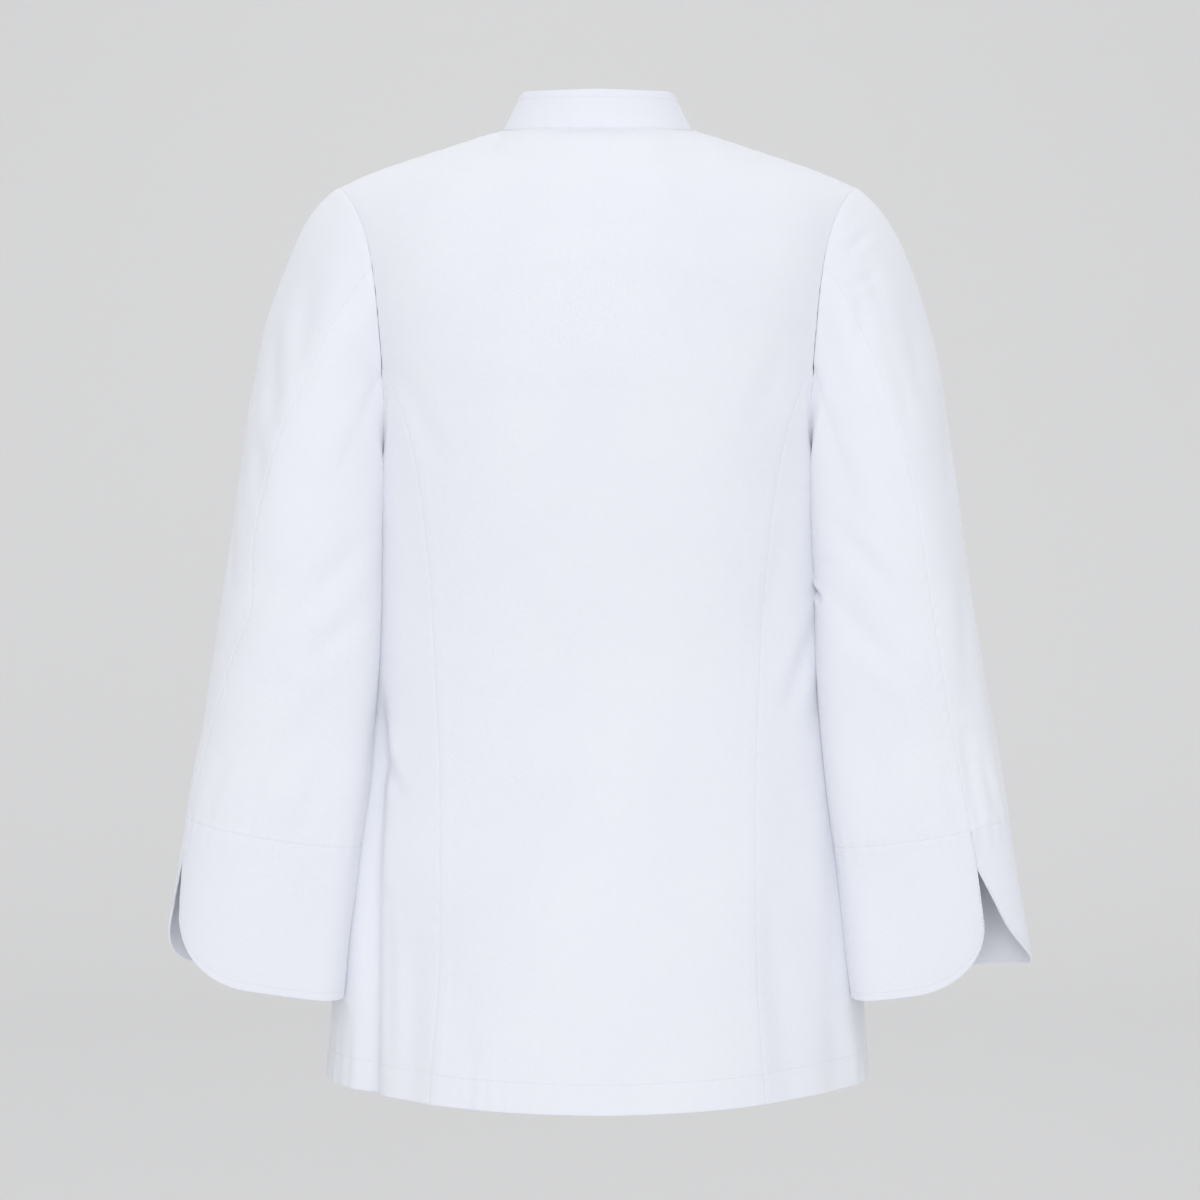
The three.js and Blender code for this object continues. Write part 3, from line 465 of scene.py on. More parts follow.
def body_folds(grid):
    """All folds of the body, by the angle round from the back and the height."""
    x, y, z = grid[..., 0], grid[..., 1], grid[..., 2]
    angle = np.degrees(np.arctan2(x, y))
    moved = crease_depth(angle, z, BODY_CREASES, 2.5) + undulation(angle * 2.5, z, 11, 120, 0.8)
    for side, top_z, full_z, angle_top, angle_hem, depth, left, width in SIDE_FOLDS:
        grown = smooth(top_z, full_z, z) * mix(1, left, smooth(full_z, HEM_Z, z))
        centre = np.interp(-z, (-top_z, -HEM_Z), (angle_top, angle_hem))
        moved -= depth * grown * np.exp(-(((angle * side - centre) / width) ** 2)) * (x * side > 0)
    for start, end, reach, depth, spacing in HEM_PUCKERS:
        inside = smooth(start, start + 6, angle) * smooth(end, end - 6, angle)
        low = np.exp(-(((z - HEM_Z) / reach) ** 2))
        wave = np.sin(2 * np.pi * angle / spacing + 1.3 * np.sin(angle / 7))
        moved += depth * inside * low * wave
    return moved


def away_from_edges(grid, reach=16):
    """0 at the armhole and the neckline, where another piece is sewn on, and 1 further off."""
    curves = armhole_curves()
    armhole = np.concatenate([curves["back"][::5], curves["front"][::4]])
    folded = np.stack([np.abs(grid[..., 0]), grid[..., 1], grid[..., 2]], -1)
    apart = np.linalg.norm(folded[..., None, :] - armhole, axis=-1).min(axis=-1)
    depth = np.where(grid[..., 1] > 0, NECK["back"], NECK["front"])
    neck = (np.hypot(grid[..., 0] / NECK["half"], grid[..., 1] / depth) - 1) * NECK["half"]
    return smooth(2, reach, apart) * smooth(0, reach, neck)


def pressed_side(grid):
    """The sides swell behind the hanging sleeves: a bell round the body's side."""
    x, y, z = grid[..., 0], grid[..., 1], grid[..., 2]
    angle = np.degrees(np.arctan2(np.abs(x), y))
    fullness = np.interp(-z, FULLNESS["down"], FULLNESS["out"])
    fullness *= mix(0.36, 1, away_from_edges(grid, 9))
    return fullness * np.exp(-(((angle - FULLNESS_DEG) / 9.5) ** 2)) * (y > 0)


def pressed_sleeve(angles, down):
    """The sleeve's inner back edge is squared up: a bell round it, growing down from the armhole."""
    return SLEEVE_SQUARED * np.exp(-(((angles - SLEEVE_SQUARED_DEG) / 21) ** 2)) * smooth(1, 24, down)


def rounded(distance, thickness):
    """How far an edge's face stands back at a distance from the edge: a quarter circle of half the cloth."""
    half = thickness / 2
    q = np.clip(1 - distance / half, 0, 1)
    return half * (1 - np.sqrt(1 - q**2)) * 0.94


EDGES = {"top": (0, 0, 1), "bottom": (0, -1, -2), "left": (1, 0, 1), "right": (1, -1, -2)}


def turn_in(outer, inner, normal, flat, side, reach=4.5):
    """Turns a sewn border in: one more row a little past and below the edge, one at the allowance's depth."""
    axis, edge, near = EDGES[side]
    border, up = np.take(outer, edge, axis), np.take(normal, edge, axis)
    past = border - np.take(outer, near, axis)
    past = past - up * (past * up).sum(-1, keepdims=True)
    past /= np.maximum(np.linalg.norm(past, axis=-1, keepdims=True), 1e-9)
    rows = [border + past * 0.3 - up * 1.1, border + past * 0.34 - up * reach]
    under = [row - past * 0.3 for row in rows]
    way = np.array([(0, 1), (1, 0)][axis]) * (1e-3 if edge else -1e-3)
    places = [np.take(flat, edge, axis) + way * depth for depth in (1.1, reach)]
    inner = inner.copy()
    where = (edge, slice(None)) if axis == 0 else (slice(None), edge)
    inner[where] -= past * 0.12
    turned = []
    for grid, added in ((outer, rows), (inner, under), (normal, [up, up]), (flat, places)):
        parts = [grid, *(np.expand_dims(row, axis) for row in added)]
        turned.append(np.concatenate(parts if edge else [parts[2], parts[1], parts[0]], axis=axis))
    return turned


def shell(name, outer, normal, thickness, distances, seams, material):
    """A closed shell: the outer grid, an inner one the cloth's thickness further in, rounded free edges."""
    free = [distances[side] for side in distances if side not in seams]
    nearest = np.minimum.reduce(free) if free else np.full(outer.shape[:2], 99.0)
    step = rounded(nearest, thickness)[..., None]
    middle = outer.shape[1] // 2
    u = distances["left"] - distances["left"][:, middle : middle + 1]
    v = np.broadcast_to(distances["top"].mean(axis=1)[:, None], u.shape)
    flat = np.stack([u, v], -1) * 0.001
    top, under = outer - normal * step, outer - normal * (thickness[..., None] - step)
    for side in seams:
        top, under, normal, flat = turn_in(top, under, normal, flat, side)
    rows, columns = top.shape[:2]
    count = rows * columns
    index = np.arange(count).reshape(rows, columns)
    quads = np.stack([index[:-1, :-1], index[1:, :-1], index[1:, 1:], index[:-1, 1:]], -1).reshape(-1, 4)
    ring = np.concatenate([index[0], index[1:, -1], index[-1, -2::-1], index[-2:0:-1, 0]])
    following = np.roll(ring, -1)
    border = np.stack([ring, following, following + count, ring + count], -1)
    faces = np.concatenate([quads, quads[:, ::-1] + count, border])
    vertices = np.concatenate([layer.reshape(-1, 3) for layer in (top, under)])
    a, b, c, d = (vertices[faces[:, i]] for i in range(4))
    volume = np.einsum("ij,ij->i", a, np.cross(b, c) + np.cross(c, d)).sum()
    if volume < 0:
        faces = faces[:, ::-1]
    return mesh_object(name, vertices, faces, material, np.tile(flat.reshape(-1, 2), (2, 1)))


def mesh_object(name, vertices, faces, material, flat=None):
    """Puts whole arrays of points and faces into a smooth mesh, millimetres to metres."""
    groups = faces if isinstance(faces, list) else [faces]
    corners = np.concatenate([group.ravel() for group in groups]).astype(np.int32)
    sizes = np.concatenate([np.full(len(group), group.shape[1]) for group in groups]).astype(np.int32)
    mesh = bpy.data.meshes.new(name)
    mesh.vertices.add(len(vertices))
    mesh.vertices.foreach_set("co", (vertices * 0.001).astype(np.float32).ravel())
    mesh.loops.add(len(corners))
    mesh.loops.foreach_set("vertex_index", corners)
    mesh.polygons.add(len(sizes))
    mesh.polygons.foreach_set("loop_start", (np.cumsum(sizes) - sizes).astype(np.int32))
    mesh.polygons.foreach_set("loop_total", sizes)
    mesh.polygons.foreach_set("use_smooth", np.ones(len(sizes), bool))
    if flat is not None:
        layer = mesh.uv_layers.new(name="flat")
        layer.data.foreach_set("uv", flat[corners].astype(np.float32).ravel())
    mesh.update(calc_edges=True)
    piece = bpy.data.objects.new(name, mesh)
    piece.data.materials.append(material)
    bpy.context.scene.collection.objects.link(piece)
    return piece


def cut_size(grid):
    """The cut's flat width, length and area in metres, measured along the cloth before its small folds."""
    distances = border_distances(grid)
    area = 0.5 * np.linalg.norm(
        np.cross(grid[1:, 1:] - grid[:-1, :-1], grid[1:, :-1] - grid[:-1, 1:]), axis=-1
    ).sum()
    width = distances["left"][:, -1].max() * 0.001
    length = distances["top"][-1].max() * 0.001
    return (round(width, 3), round(length, 3)), round(min(area * 1e-6, width * length), 4)


def cloth_piece(name, grid, inside, material, thickness, moved, seams, seed, extra=0.0):
    """Folds one piece, lets its sewn edges sink, puckers the cloth beside them and makes its shell."""
    distances = border_distances(grid)
    normal = normals(grid, inside)
    for i, side in enumerate(seams):
        along = distances["left" if side in ("top", "bottom") else "top"]
        moved = moved - 0.3 * np.exp(-((distances[side] / 1.0) ** 2))
        moved = moved + pucker(distances[side], along, seed + i)
    outer = grid + normal * moved[..., None]
    wall = np.zeros(grid.shape[:2]) + thickness + extra
    piece = shell(name, outer, normal, wall, distances, seams, material)
    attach(piece, "root")
    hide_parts(name.removesuffix("_cloth"))
    flat, area = cut_size(grid)
    return outer, normal, distances


def stitched_line(distance, along, seed, groove=0.22):
    """The shallow groove that a line of topstitching pulls into the cloth, with its fine puckers."""
    return pucker(distance, along, seed, 5.0, 0.12) - groove * np.exp(-((distance / 1.1) ** 2))


def grid_line(outer, normal, distances, side, inset):
    """The points and normals of a grid along a line that keeps an inset from one of its borders."""
    across = side in ("left", "right")
    places = distances[side].mean(axis=0 if across else 1)
    order = np.argsort(places)
    place = np.interp(inset, places[order], order.astype(float))
    low = int(np.clip(np.floor(place), 0, len(places) - 2))
    pick = (lambda g: mix(g[:, low], g[:, low + 1], place - low)) if across else (
        lambda g: mix(g[low], g[low + 1], place - low)
    )
    return pick(outer), pick(normal)


STITCH_RINGS = ((-1.0, 0.0), (-0.8, 0.62), (-0.3, 1.0), (0.3, 1.0), (0.8, 0.62), (1.0, 0.0))
STITCH_SIDES = 6


def stitches(name, lines, material, length=2.5, pitch=3.3, radius=0.27):
    """Stitches along lines: at each step, a short six-sided spindle that lies along the line on the cloth."""
    centres, ways, ups = [], [], []
    for line, normal in lines:
        along = np.concatenate([[0], np.cumsum(np.linalg.norm(np.diff(line, axis=0), axis=1))])
        places = np.arange(pitch / 2, along[-1] - pitch / 4, pitch)
        pick = lambda values, at: np.stack([np.interp(at, along, values[:, i]) for i in range(3)], -1)
        way = pick(line, places + length / 2) - pick(line, places - length / 2)
        centres.append(pick(line, places))
        ways.append(way / np.linalg.norm(way, axis=1, keepdims=True))
        ups.append(pick(normal, places))
    centre, way, up = (np.concatenate(parts) for parts in (centres, ways, ups))
    side = np.cross(way, up)
    side /= np.linalg.norm(side, axis=1, keepdims=True)
    up = np.cross(side, way)
    turn = 2 * np.pi * np.arange(STITCH_SIDES) / STITCH_SIDES
    place, size = np.array(STITCH_RINGS)[:, :, None].transpose(1, 0, 2)
    body = points(place * length / 2, size * radius * np.cos(turn), size * radius * np.sin(turn))
    offsets = np.concatenate([body[0, :1], body[1:-1].reshape(-1, 3), body[-1, :1]])
    basis = np.stack([way, side, up], axis=1)
    lifted = centre + up * (0.35 * radius)
    vertices = lifted[:, None] + np.einsum("ok,nkj->noj", offsets, basis)
    quads, ends = spindle_faces(len(STITCH_RINGS) - 2, STITCH_SIDES)
    start = (np.arange(len(centre)) * len(offsets))[:, None, None]
    faces = [(group[None] + start).reshape(-1, group.shape[1]) for group in (quads, ends)]
    piece = mesh_object(name, vertices.reshape(-1, 3), faces, material)
    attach(piece, "root")
    return piece


def spindle_faces(rings, sides):
    """Quads between the rings of a closed spindle, and the triangles at its two points."""
    ring = 1 + np.arange(rings * sides).reshape(rings, sides)
    after = np.roll(ring, -1, axis=1)
    quads = np.stack([ring[:-1], after[:-1], after[1:], ring[1:]], -1).reshape(-1, 4)
    first = np.stack([np.zeros(sides, int), after[0], ring[0]], -1)
    last = np.stack([np.full(sides, 1 + rings * sides), ring[-1], after[-1]], -1)
    return quads, np.concatenate([first, last])


def body_inside(grid):
    """The middle line of the body beside each point of a grid."""
    return grid * (0, 0, 1)


def back_grid():
    """The back: over the shoulder, on down to the top of the princess seam, and level from there."""
    column = (2 * graded(400, 2.9) - 1) * COLUMNS["back"]
    half = np.abs(column)
    down = graded(-HEM_Z, 2.9) * -HEM_Z
    round_to = 150
    top = shoulder_rows("back", even_shares("back", down[down <= round_to] / round_to), half)
    last = shoulder_rows("back", np.array([1.0]), half)[0]
    between = down[(down > round_to) & (down < -PRINCESS_TOP_Z)]
    share = ((between - round_to) / (-PRINCESS_TOP_Z - round_to))[:, None]
    top_x = princess_x(PRINCESS_TOP_Z) * half / COLUMNS["back"]
    level = mix(last[:, 2], PRINCESS_TOP_Z, share)
    edge = armhole_x["back"](mix(last[-1, 2], PRINCESS_TOP_Z, share))
    joint = body_point("back", mix(last[:, 0] / last[-1, 0], top_x / top_x[-1], share) * edge, level)
    z = -down[down >= -PRINCESS_TOP_Z][:, None]
    level = body_point("back", princess_x(z) * half / COLUMNS["back"], z)
    grid = np.concatenate([top, joint, level])
    grid[..., 0] *= np.where(column < 0, -1, 1)
    return grid


def side_back_grid(side):
    """A side back: each level row runs at even angles from the princess seam to the armhole or side seam."""
    z = mix(PRINCESS_TOP_Z, HEM_Z, graded(540, 2.7))[:, None]
    start_x = princess_x(z)
    end_y = np.where(z > UNDERARM_Z, armhole_y["back"](z), 0)
    start = np.arctan2(start_x / body_half(z), ring_depth("back", start_x, z) / body_depth["back"](z))
    end = np.arctan2(ring_x("back", end_y, z) / body_half(z), end_y / body_depth["back"](z))
    angle = mix(start, end, graded(92, 2.3))
    n = body_square(z)
    reach = (np.abs(np.sin(angle)) ** n + np.abs(np.cos(angle)) ** n) ** (-1 / n)
    return points(
        side * body_half(z) * reach * np.sin(angle), body_depth["back"](z) * reach * np.cos(angle), z
    )


def front_grid(side):
    """A front: its own half, and the strip past the centre line that laps over or under the other front."""
    place = graded(292, 3.4) * 292
    column = np.interp(place, (0, 78, 156, 292), (-LAP_STEPS, 0, LAP_STEPS, COLUMNS["front"]))
    half = np.abs(column)
    round_length = 276
    top = shoulder_rows("front", even_shares("front", graded(round_length, 3.4, False)), half)
    share = np.linspace(0, 1, 14)[1:-1, None]
    lap = ring_angle("front", overlap_x(UNDERARM_Z), UNDERARM_Z) / np.radians(90)
    below = body_half(UNDERARM_Z) * outwards(UNDERARM_Z, np.radians(90) * column_share("front", half, lap))
    joint = body_point("front", mix(top[-1, :, 0], below, share), mix(top[-1, :, 2], UNDERARM_Z, share))
    z = mix(HEM_Z, UNDERARM_Z, graded(450, 3.4, False)[::-1])[:, None]
    lap = ring_angle("front", overlap_x(z), z) / np.radians(90)
    level = body_point(
        "front", body_half(z) * outwards(z, np.radians(90) * column_share("front", half, lap)), z
    )
    grid = np.concatenate([top, joint, level])
    grid[..., 0] *= side * np.where(column < 0, -1, 1)
    return grid


def collar_top(angle):
    """The collar's top edge at an angle round the neck: an ellipse whose height falls towards the front."""
    depth = np.where(np.cos(angle) >= 0, COLLAR["back"], COLLAR["front"])
    towards_front = smooth(np.radians(60), np.radians(180), angle)
    z = mix(COLLAR["back_z"], COLLAR["side_z"], np.sin(np.minimum(angle, np.radians(90))))
    z = mix(z, COLLAR["front_z"], towards_front)
    return points(COLLAR["half"] * np.sin(angle), depth * np.cos(angle), z)


def collar_grid():
    """The band, from the neckline to its top edge, stopping short of the centre front with round corners."""
    degrees = np.linspace(0, 180, 721)
    towards = {"back": degrees[degrees <= 90], "front": 180 - degrees[degrees > 90]}
    base = []
    for face, turned in towards.items():
        x = NECK["half"] * np.sin(np.radians(turned))
        base.append(shoulder_point(face, x, neckline_angle(face, x)))
    base = np.concatenate(base)
    along = np.concatenate([[0], np.cumsum(np.linalg.norm(np.diff(base, axis=0), axis=1))])
    length = along[-1] - COLLAR_GAP / 2
    place = (2 * graded(2 * length, 2.6) - 1) * length
    at = np.abs(place)
    foot = np.stack([np.interp(at, along, base[:, i]) for i in range(3)], -1)
    top = collar_top(np.radians(np.interp(at, along, degrees)))
    short = np.maximum(COLLAR_CORNER - (length - at), 0)
    cut = COLLAR_CORNER - np.sqrt(COLLAR_CORNER**2 - short**2)
    height = 1 - cut / np.linalg.norm(top - foot, axis=1)
    rise = mix(-0.09, height, graded(32, 2.2)[:, None])
    grid = mix(foot[None], top[None], rise[..., None])
    grid[..., 0] *= np.where(place < 0, -1, 1)
    return grid


def armhole_curves():
    """The armhole on the left, as densely spaced points down the back and down the front."""
    shares = np.linspace(0, 1, 200)
    curves = {}
    for face in SIGN:
        drop, power = ROUND[face]
        down = drop * (1 - np.cos(np.radians(90) * shares) ** (2 / power))
        curves[face] = shoulder_point(face, edge_at_drop(face, down), np.radians(90) * shares)
    z = np.linspace(curves["back"][-1, 2], PRINCESS_TOP_Z, 20)[1:-1]
    joint = body_point("back", armhole_x["back"](z), z)
    z = np.linspace(PRINCESS_TOP_Z, UNDERARM_Z, 120)
    lower = points(ring_x("back", armhole_y["back"](z), z), armhole_y["back"](z), z)
    curves["back"] = np.concatenate([curves["back"], joint, lower])
    curves["front"] = np.concatenate([curves["front"], lower[-1:]])
    return curves


def armhole_at(angle):
    """A point of the armhole by its angle: 90 on the shoulder, 270 under the arm, falling down the back."""
    curves = armhole_curves()
    on_back = (angle <= 90) | (angle > 270)
    share = np.where(angle <= 90, 90 - angle, np.where(angle > 270, 450 - angle, angle - 90)) / 180
    found = []
    for face in ("back", "front"):
        along = np.cumsum(np.linalg.norm(np.diff(curves[face], axis=0, prepend=curves[face][:1]), axis=1))
        place = share * along[-1]
        found.append(np.stack([np.interp(place, along, curves[face][:, i]) for i in range(3)], -1))
    return np.where(on_back[:, None], found[0], found[1]), share


def tube_point(z, angle):
    """A point of the left sleeve's tube: an ellipse square to the sleeve, by the angle from its back."""
    tilt = np.radians(sleeve_at["tilt"](z))
    across = sleeve_at["half"](z) * np.sin(angle)
    return points(
        sleeve_at["x"](z) + across * np.cos(tilt),
        sleeve_at["y"](z) + sleeve_at["depth"](z) * np.cos(angle),
        z + across * np.sin(tilt),
    )


def sleeve_grid(hand, is_top):
    """The sleeve's head as a cubic curve from each armhole point to the tube, then the tube's ellipses."""
    back_start, front_start = SEAM_ON_ARMHOLE
    place = graded(196, 2.7)
    if is_top:
        start_angle = mix(back_start, front_start, place)
        tube_angle = lambda turn: mix(turn, FRONT_SEAM_DEG, place)
    else:
        start_angle = mix(front_start, back_start + 360, place)
        tube_angle = lambda turn: mix(FRONT_SEAM_DEG, turn + 360, place)
    start, away = armhole_at(start_angle)
    outward = 0.39 * smooth(0.55, 0.95, away)
    start = start + outward[:, None] * (1, 0, 0)
    down = graded(408, 2.7) * 408
    share = (down[down < 200] / 200)[:, None]
    turn = sleeve_at[hand](SLEEVE_TOP_Z)
    lead = HEAD_LEAD[hand] * np.sin(np.pi * away) * (start[:, 1] > 0)
    angle = mix(start_angle - lead, tube_angle(turn), smooth(0, HEAD_TURN, share))
    end = tube_point(SLEEVE_TOP_Z, np.radians(angle))
    bulge = LEAVE["bulge"] * np.sin(np.pi * away) * np.sign(start[:, 1])
    leave = points(mix(*LEAVE["out"], away), bulge, -mix(*LEAVE["down"], away))
    leave /= np.linalg.norm(leave, axis=1, keepdims=True)
    tilt = np.radians(sleeve_at["tilt"](SLEEVE_TOP_Z))
    back_up = np.array([-np.sin(tilt), 0, np.cos(tilt)])
    distance = np.linalg.norm(start - end, axis=-1, keepdims=True)
    first = start + leave * REACH[0] * distance
    second = end + back_up * REACH[1] * distance
    t = share[..., None]
    head = (1 - t) ** 3 * start + 3 * (1 - t) ** 2 * t * first + 3 * (1 - t) * t**2 * second + t**3 * end
    z = SLEEVE_TOP_Z - (down[down >= 200] - 200)[:, None]
    tube_angles = tube_angle(sleeve_at[hand](z))
    grid = np.concatenate([head, tube_point(z, np.radians(tube_angles))])
    angles = np.concatenate([angle, tube_angles])
    return clear_of_body(grid), angles


def clear_of_body(grid):
    """Keeps the left sleeve a little outside the body's ring below the underarm."""
    x, y, z = grid[..., 0], grid[..., 1], grid[..., 2]
    room = mix(0.3, 2.6, smooth(UNDERARM_Z + 2, UNDERARM_Z - 10, z))
    least = np.where(
        y >= 0,
        ring_x("back", np.minimum(np.abs(y), body_depth["back"](z) * 0.98), z),
        ring_x("front", np.minimum(np.abs(y), body_depth["front"](z) * 0.98), z),
    )
    hanging = (z < UNDERARM_Z + 1) & (np.arange(len(grid))[:, None] > 0)
    grid[..., 0] = np.where(hanging, np.maximum(x, least + room), x)
    return grid


def sleeve_inside(grid, side):
    """The middle line of a sleeve beside each point of a grid."""
    z = np.minimum(grid[..., 2], SLEEVE_TOP_Z)
    rise = np.clip((grid[..., 2] - SLEEVE_TOP_Z) / 250, 0, 1)
    return points(side * mix(sleeve_at["x"](z), 165, rise), mix(sleeve_at["y"](z), 5, rise), grid[..., 2])


def sleeve_folds(angles, z, hand, seed):
    """All folds of a sleeve, by the angle from its back and the height; the table holds for whole turns."""
    creases = SLEEVE_CREASES[hand]
    moved = crease_depth(angles, z, creases, 1.05) + crease_depth(angles - 360, z, creases, 1.05)
    wave = np.radians(angles)
    return moved + undulation(60 * np.cos(wave) + 40 * np.sin(2 * wave), z, seed, 95, 0.7)


def gathered(angles, down):
    """Small gathers above and below the cuff seam: uneven waves round the sleeve that fade away from it."""
    wave = np.radians(angles)
    return 0.45 * np.exp(-((down / 13) ** 2)) * np.sin(angles * 0.55 + 1.7 * np.sin(wave * 2))


def cuff_grid(hand):
    """A cuff: from its vent's far edge round to the near one, each column as long as its corner lets it."""
    length = CUFF_TOP_Z - CUFF_END_Z
    seam = sleeve_at[hand](CUFF_TOP_Z)
    near, far = VENT[hand]
    girth = np.pi * (sleeve_at["half"](CUFF_END_Z) + sleeve_at["depth"](CUFF_END_Z)) * CUFF_GIRTH_SHARE
    share = graded(girth, 2.6)
    short = np.maximum(CUFF_CORNER - np.minimum(share, 1 - share) * girth, 0)
    cut = CUFF_CORNER - np.sqrt(CUFF_CORNER**2 - short**2)
    down = (length - cut) * graded(length, 2.6)[:, None]
    opened = np.clip((down - VENT_TOP) / (length - VENT_TOP), 0, 1)
    far_edge = mix(seam + VENT_SLIT_DEG, far, opened)
    near_edge = mix(seam - VENT_SLIT_DEG, near, opened) + 360
    angle = mix(far_edge, near_edge, share)
    return tube_point(CUFF_TOP_Z - 0.15 - down, np.radians(angle)), angle


class Value:
    """One output of a node. Arithmetic on it adds Math nodes."""

    def __init__(self, shader, socket):
        self.shader = shader
        self.socket = socket

    def math(self, operation, first, second=None):
        given = {0: first} if second is None else {0: first, 1: second}
        return self.shader.node("ShaderNodeMath", {"operation": operation}, given)

    def __add__(self, other):
        return self.math("ADD", self, other)

    def __sub__(self, other):
        return self.math("SUBTRACT", self, other)

    def __rsub__(self, other):
        return self.math("SUBTRACT", other, self)

    def __mul__(self, other):
        return self.math("MULTIPLY", self, other)

    __radd__ = __add__
    __rmul__ = __mul__

    def sine(self):
        return self.math("SINE", self)


class Shader:
    """A new material whose nodes come from one method."""

    def __init__(self, name):
        self.material = bpy.data.materials.new(name)
        self.material.use_nodes = True
        self.tree = self.material.node_tree
        self.tree.nodes.clear()

    def node(self, kind, settings=None, inputs=None, output=0):
        node = self.tree.nodes.new(kind)
        for key, value in (settings or {}).items():
            setattr(node, key, value)
        for key, value in (inputs or {}).items():
            if isinstance(value, Value):
                self.tree.links.new(value.socket, node.inputs[key])
            else:
                node.inputs[key].default_value = value
        return Value(self, node.outputs[output])

    def blend(self, share, first, second):
        """A colour between two, by a share."""
        return self.node(
            "ShaderNodeMix", {"data_type": "RGBA"}, {0: share, 6: (*first, 1), 7: (*second, 1)}, 2
        )

    def finish(self, surface):
        output = self.tree.nodes.new("ShaderNodeOutputMaterial")
        self.tree.links.new(surface.socket, output.inputs["Surface"])
        return self.material


def cloth_material(name, light, shade, looks):
    """Twill: diagonal ridges over fine threads, slubs along the warp, slow mottling and soft crumples."""
    found = bpy.data.materials.get(name)
    if found:
        return found
    shader = Shader(name)
    flat = shader.node("ShaderNodeUVMap", {"uv_map": "flat"}, output="UV")
    u = shader.node("ShaderNodeSeparateXYZ", inputs={0: flat}, output="X")
    v = shader.node("ShaderNodeSeparateXYZ", inputs={0: flat}, output="Y")
    turns = 2 * math.pi / looks.thread_pitch
    ridges = ((u + v) * (turns / 2)).sine()
    threads = (u * turns).sine() * (v * turns).sine()
    stretched = shader.node("ShaderNodeVectorMath", {"operation": "MULTIPLY"}, {0: flat, 1: (900, 45, 1)})
    slub = shader.node("ShaderNodeTexNoise", inputs={"Vector": stretched, "Scale": 1.0, "Detail": 2.0})
    place = shader.node("ShaderNodeTexCoord", output="Object")
    mottle = shader.node("ShaderNodeTexNoise", inputs={"Vector": place, "Scale": 14.0, "Detail": 3.0})
    crumple = shader.node("ShaderNodeTexNoise", inputs={"Vector": place, "Scale": 46.0, "Detail": 2.0})
    height = ridges * 0.35 + threads * 0.25 + slub * 0.5
    fine = shader.node(
        "ShaderNodeBump", inputs={"Strength": looks.weave_strength, "Distance": 0.0003, "Height": height}
    )
    soft = shader.node(
        "ShaderNodeBump",
        inputs={"Strength": 0.22, "Distance": 0.0012, "Height": crumple, "Normal": fine},
    )
    colour = shader.blend(mottle * 0.7 + slub * 0.3 + ridges * 0.06, light, shade)
    surface = shader.node(
        "ShaderNodeBsdfPrincipled",
        inputs={
            "Base Color": colour,
            "Roughness": mottle * 0.16 + 0.72,
            "Specular IOR Level": 0.25,
            "Sheen Weight": 0.5,
            "Sheen Roughness": 0.5,
            "Normal": soft,
        },
    )
    return shader.finish(surface)


def thread_material(name, colour):
    """Twisted polyester thread: fine bands across it and a low sheen."""
    found = bpy.data.materials.get(name)
    if found:
        return found
    shader = Shader(name)
    place = shader.node("ShaderNodeTexCoord", output="Object")
    twist = shader.node("ShaderNodeTexNoise", inputs={"Vector": place, "Scale": 2600.0, "Detail": 1.0})
    darker = tuple(0.86 * c for c in colour)
    shade = shader.blend(twist, colour, darker)
    bump = shader.node("ShaderNodeBump", inputs={"Strength": 0.4, "Distance": 0.0001, "Height": twist})
    surface = shader.node(
        "ShaderNodeBsdfPrincipled",
        inputs={"Base Color": shade, "Roughness": 0.55, "Sheen Weight": 0.1, "Normal": bump},
    )
    return shader.finish(surface)


def button_material(name, colour):
    """Moulded plastic with a faint marbling and fine wear in its gloss."""
    found = bpy.data.materials.get(name)
    if found:
        return found
    shader = Shader(name)
    place = shader.node("ShaderNodeTexCoord", output="Object")
    marble = shader.node(
        "ShaderNodeTexNoise", inputs={"Vector": place, "Scale": 190.0, "Detail": 3.0, "Distortion": 1.5}
    )
    wear = shader.node("ShaderNodeTexNoise", inputs={"Vector": place, "Scale": 900.0, "Detail": 2.0})
    darker = tuple(0.92 * c for c in colour)
    shade = shader.blend(marble, colour, darker)
    bump = shader.node("ShaderNodeBump", inputs={"Strength": 0.15, "Distance": 0.0001, "Height": wear})
    surface = shader.node(
        "ShaderNodeBsdfPrincipled",
        inputs={"Base Color": shade, "Roughness": wear * 0.2 + 0.25, "Normal": bump},
    )
    return shader.finish(surface)


def cloth(band=False):
    """The body's cloth, or the slightly cooler one of the interfaced collar and cuffs."""
    looks = bpy.context.scene.jacket_looks
    if band:
        return cloth_material("band_twill", tuple(looks.band_colour), tuple(looks.shade_colour), looks)
    return cloth_material("body_twill", tuple(looks.cloth_colour), tuple(looks.shade_colour), looks)


def sewing():
    """The topstitching's thread."""
    return thread_material("sewing_thread", tuple(bpy.context.scene.jacket_looks.thread_colour))


def hem_parts(distances, seed):
    """The hem's groove along its stitching, and its second layer of cloth inside."""
    line = stitched_line(np.abs(distances["bottom"] - HEM_DEPTH), distances["left"], seed)
    return line, 0.8 * smooth(HEM_DEPTH + 2, HEM_DEPTH, distances["bottom"])


class JacketSizes(bpy.types.PropertyGroup):
    """Sizes of the cloth and its sewing."""

    cloth_thickness: bpy.props.FloatProperty(
        name="Cloth thickness", description="Thickness of the single cloth", default=0.001, unit="LENGTH"
    )
    band_thickness: bpy.props.FloatProperty(
        name="Band thickness", description="Thickness of the collar and cuffs", default=0.0018, unit="LENGTH"
    )
    stitch_pitch: bpy.props.FloatProperty(
        name="Stitch pitch", description="Distance between topstitches", default=0.0033, unit="LENGTH"
    )


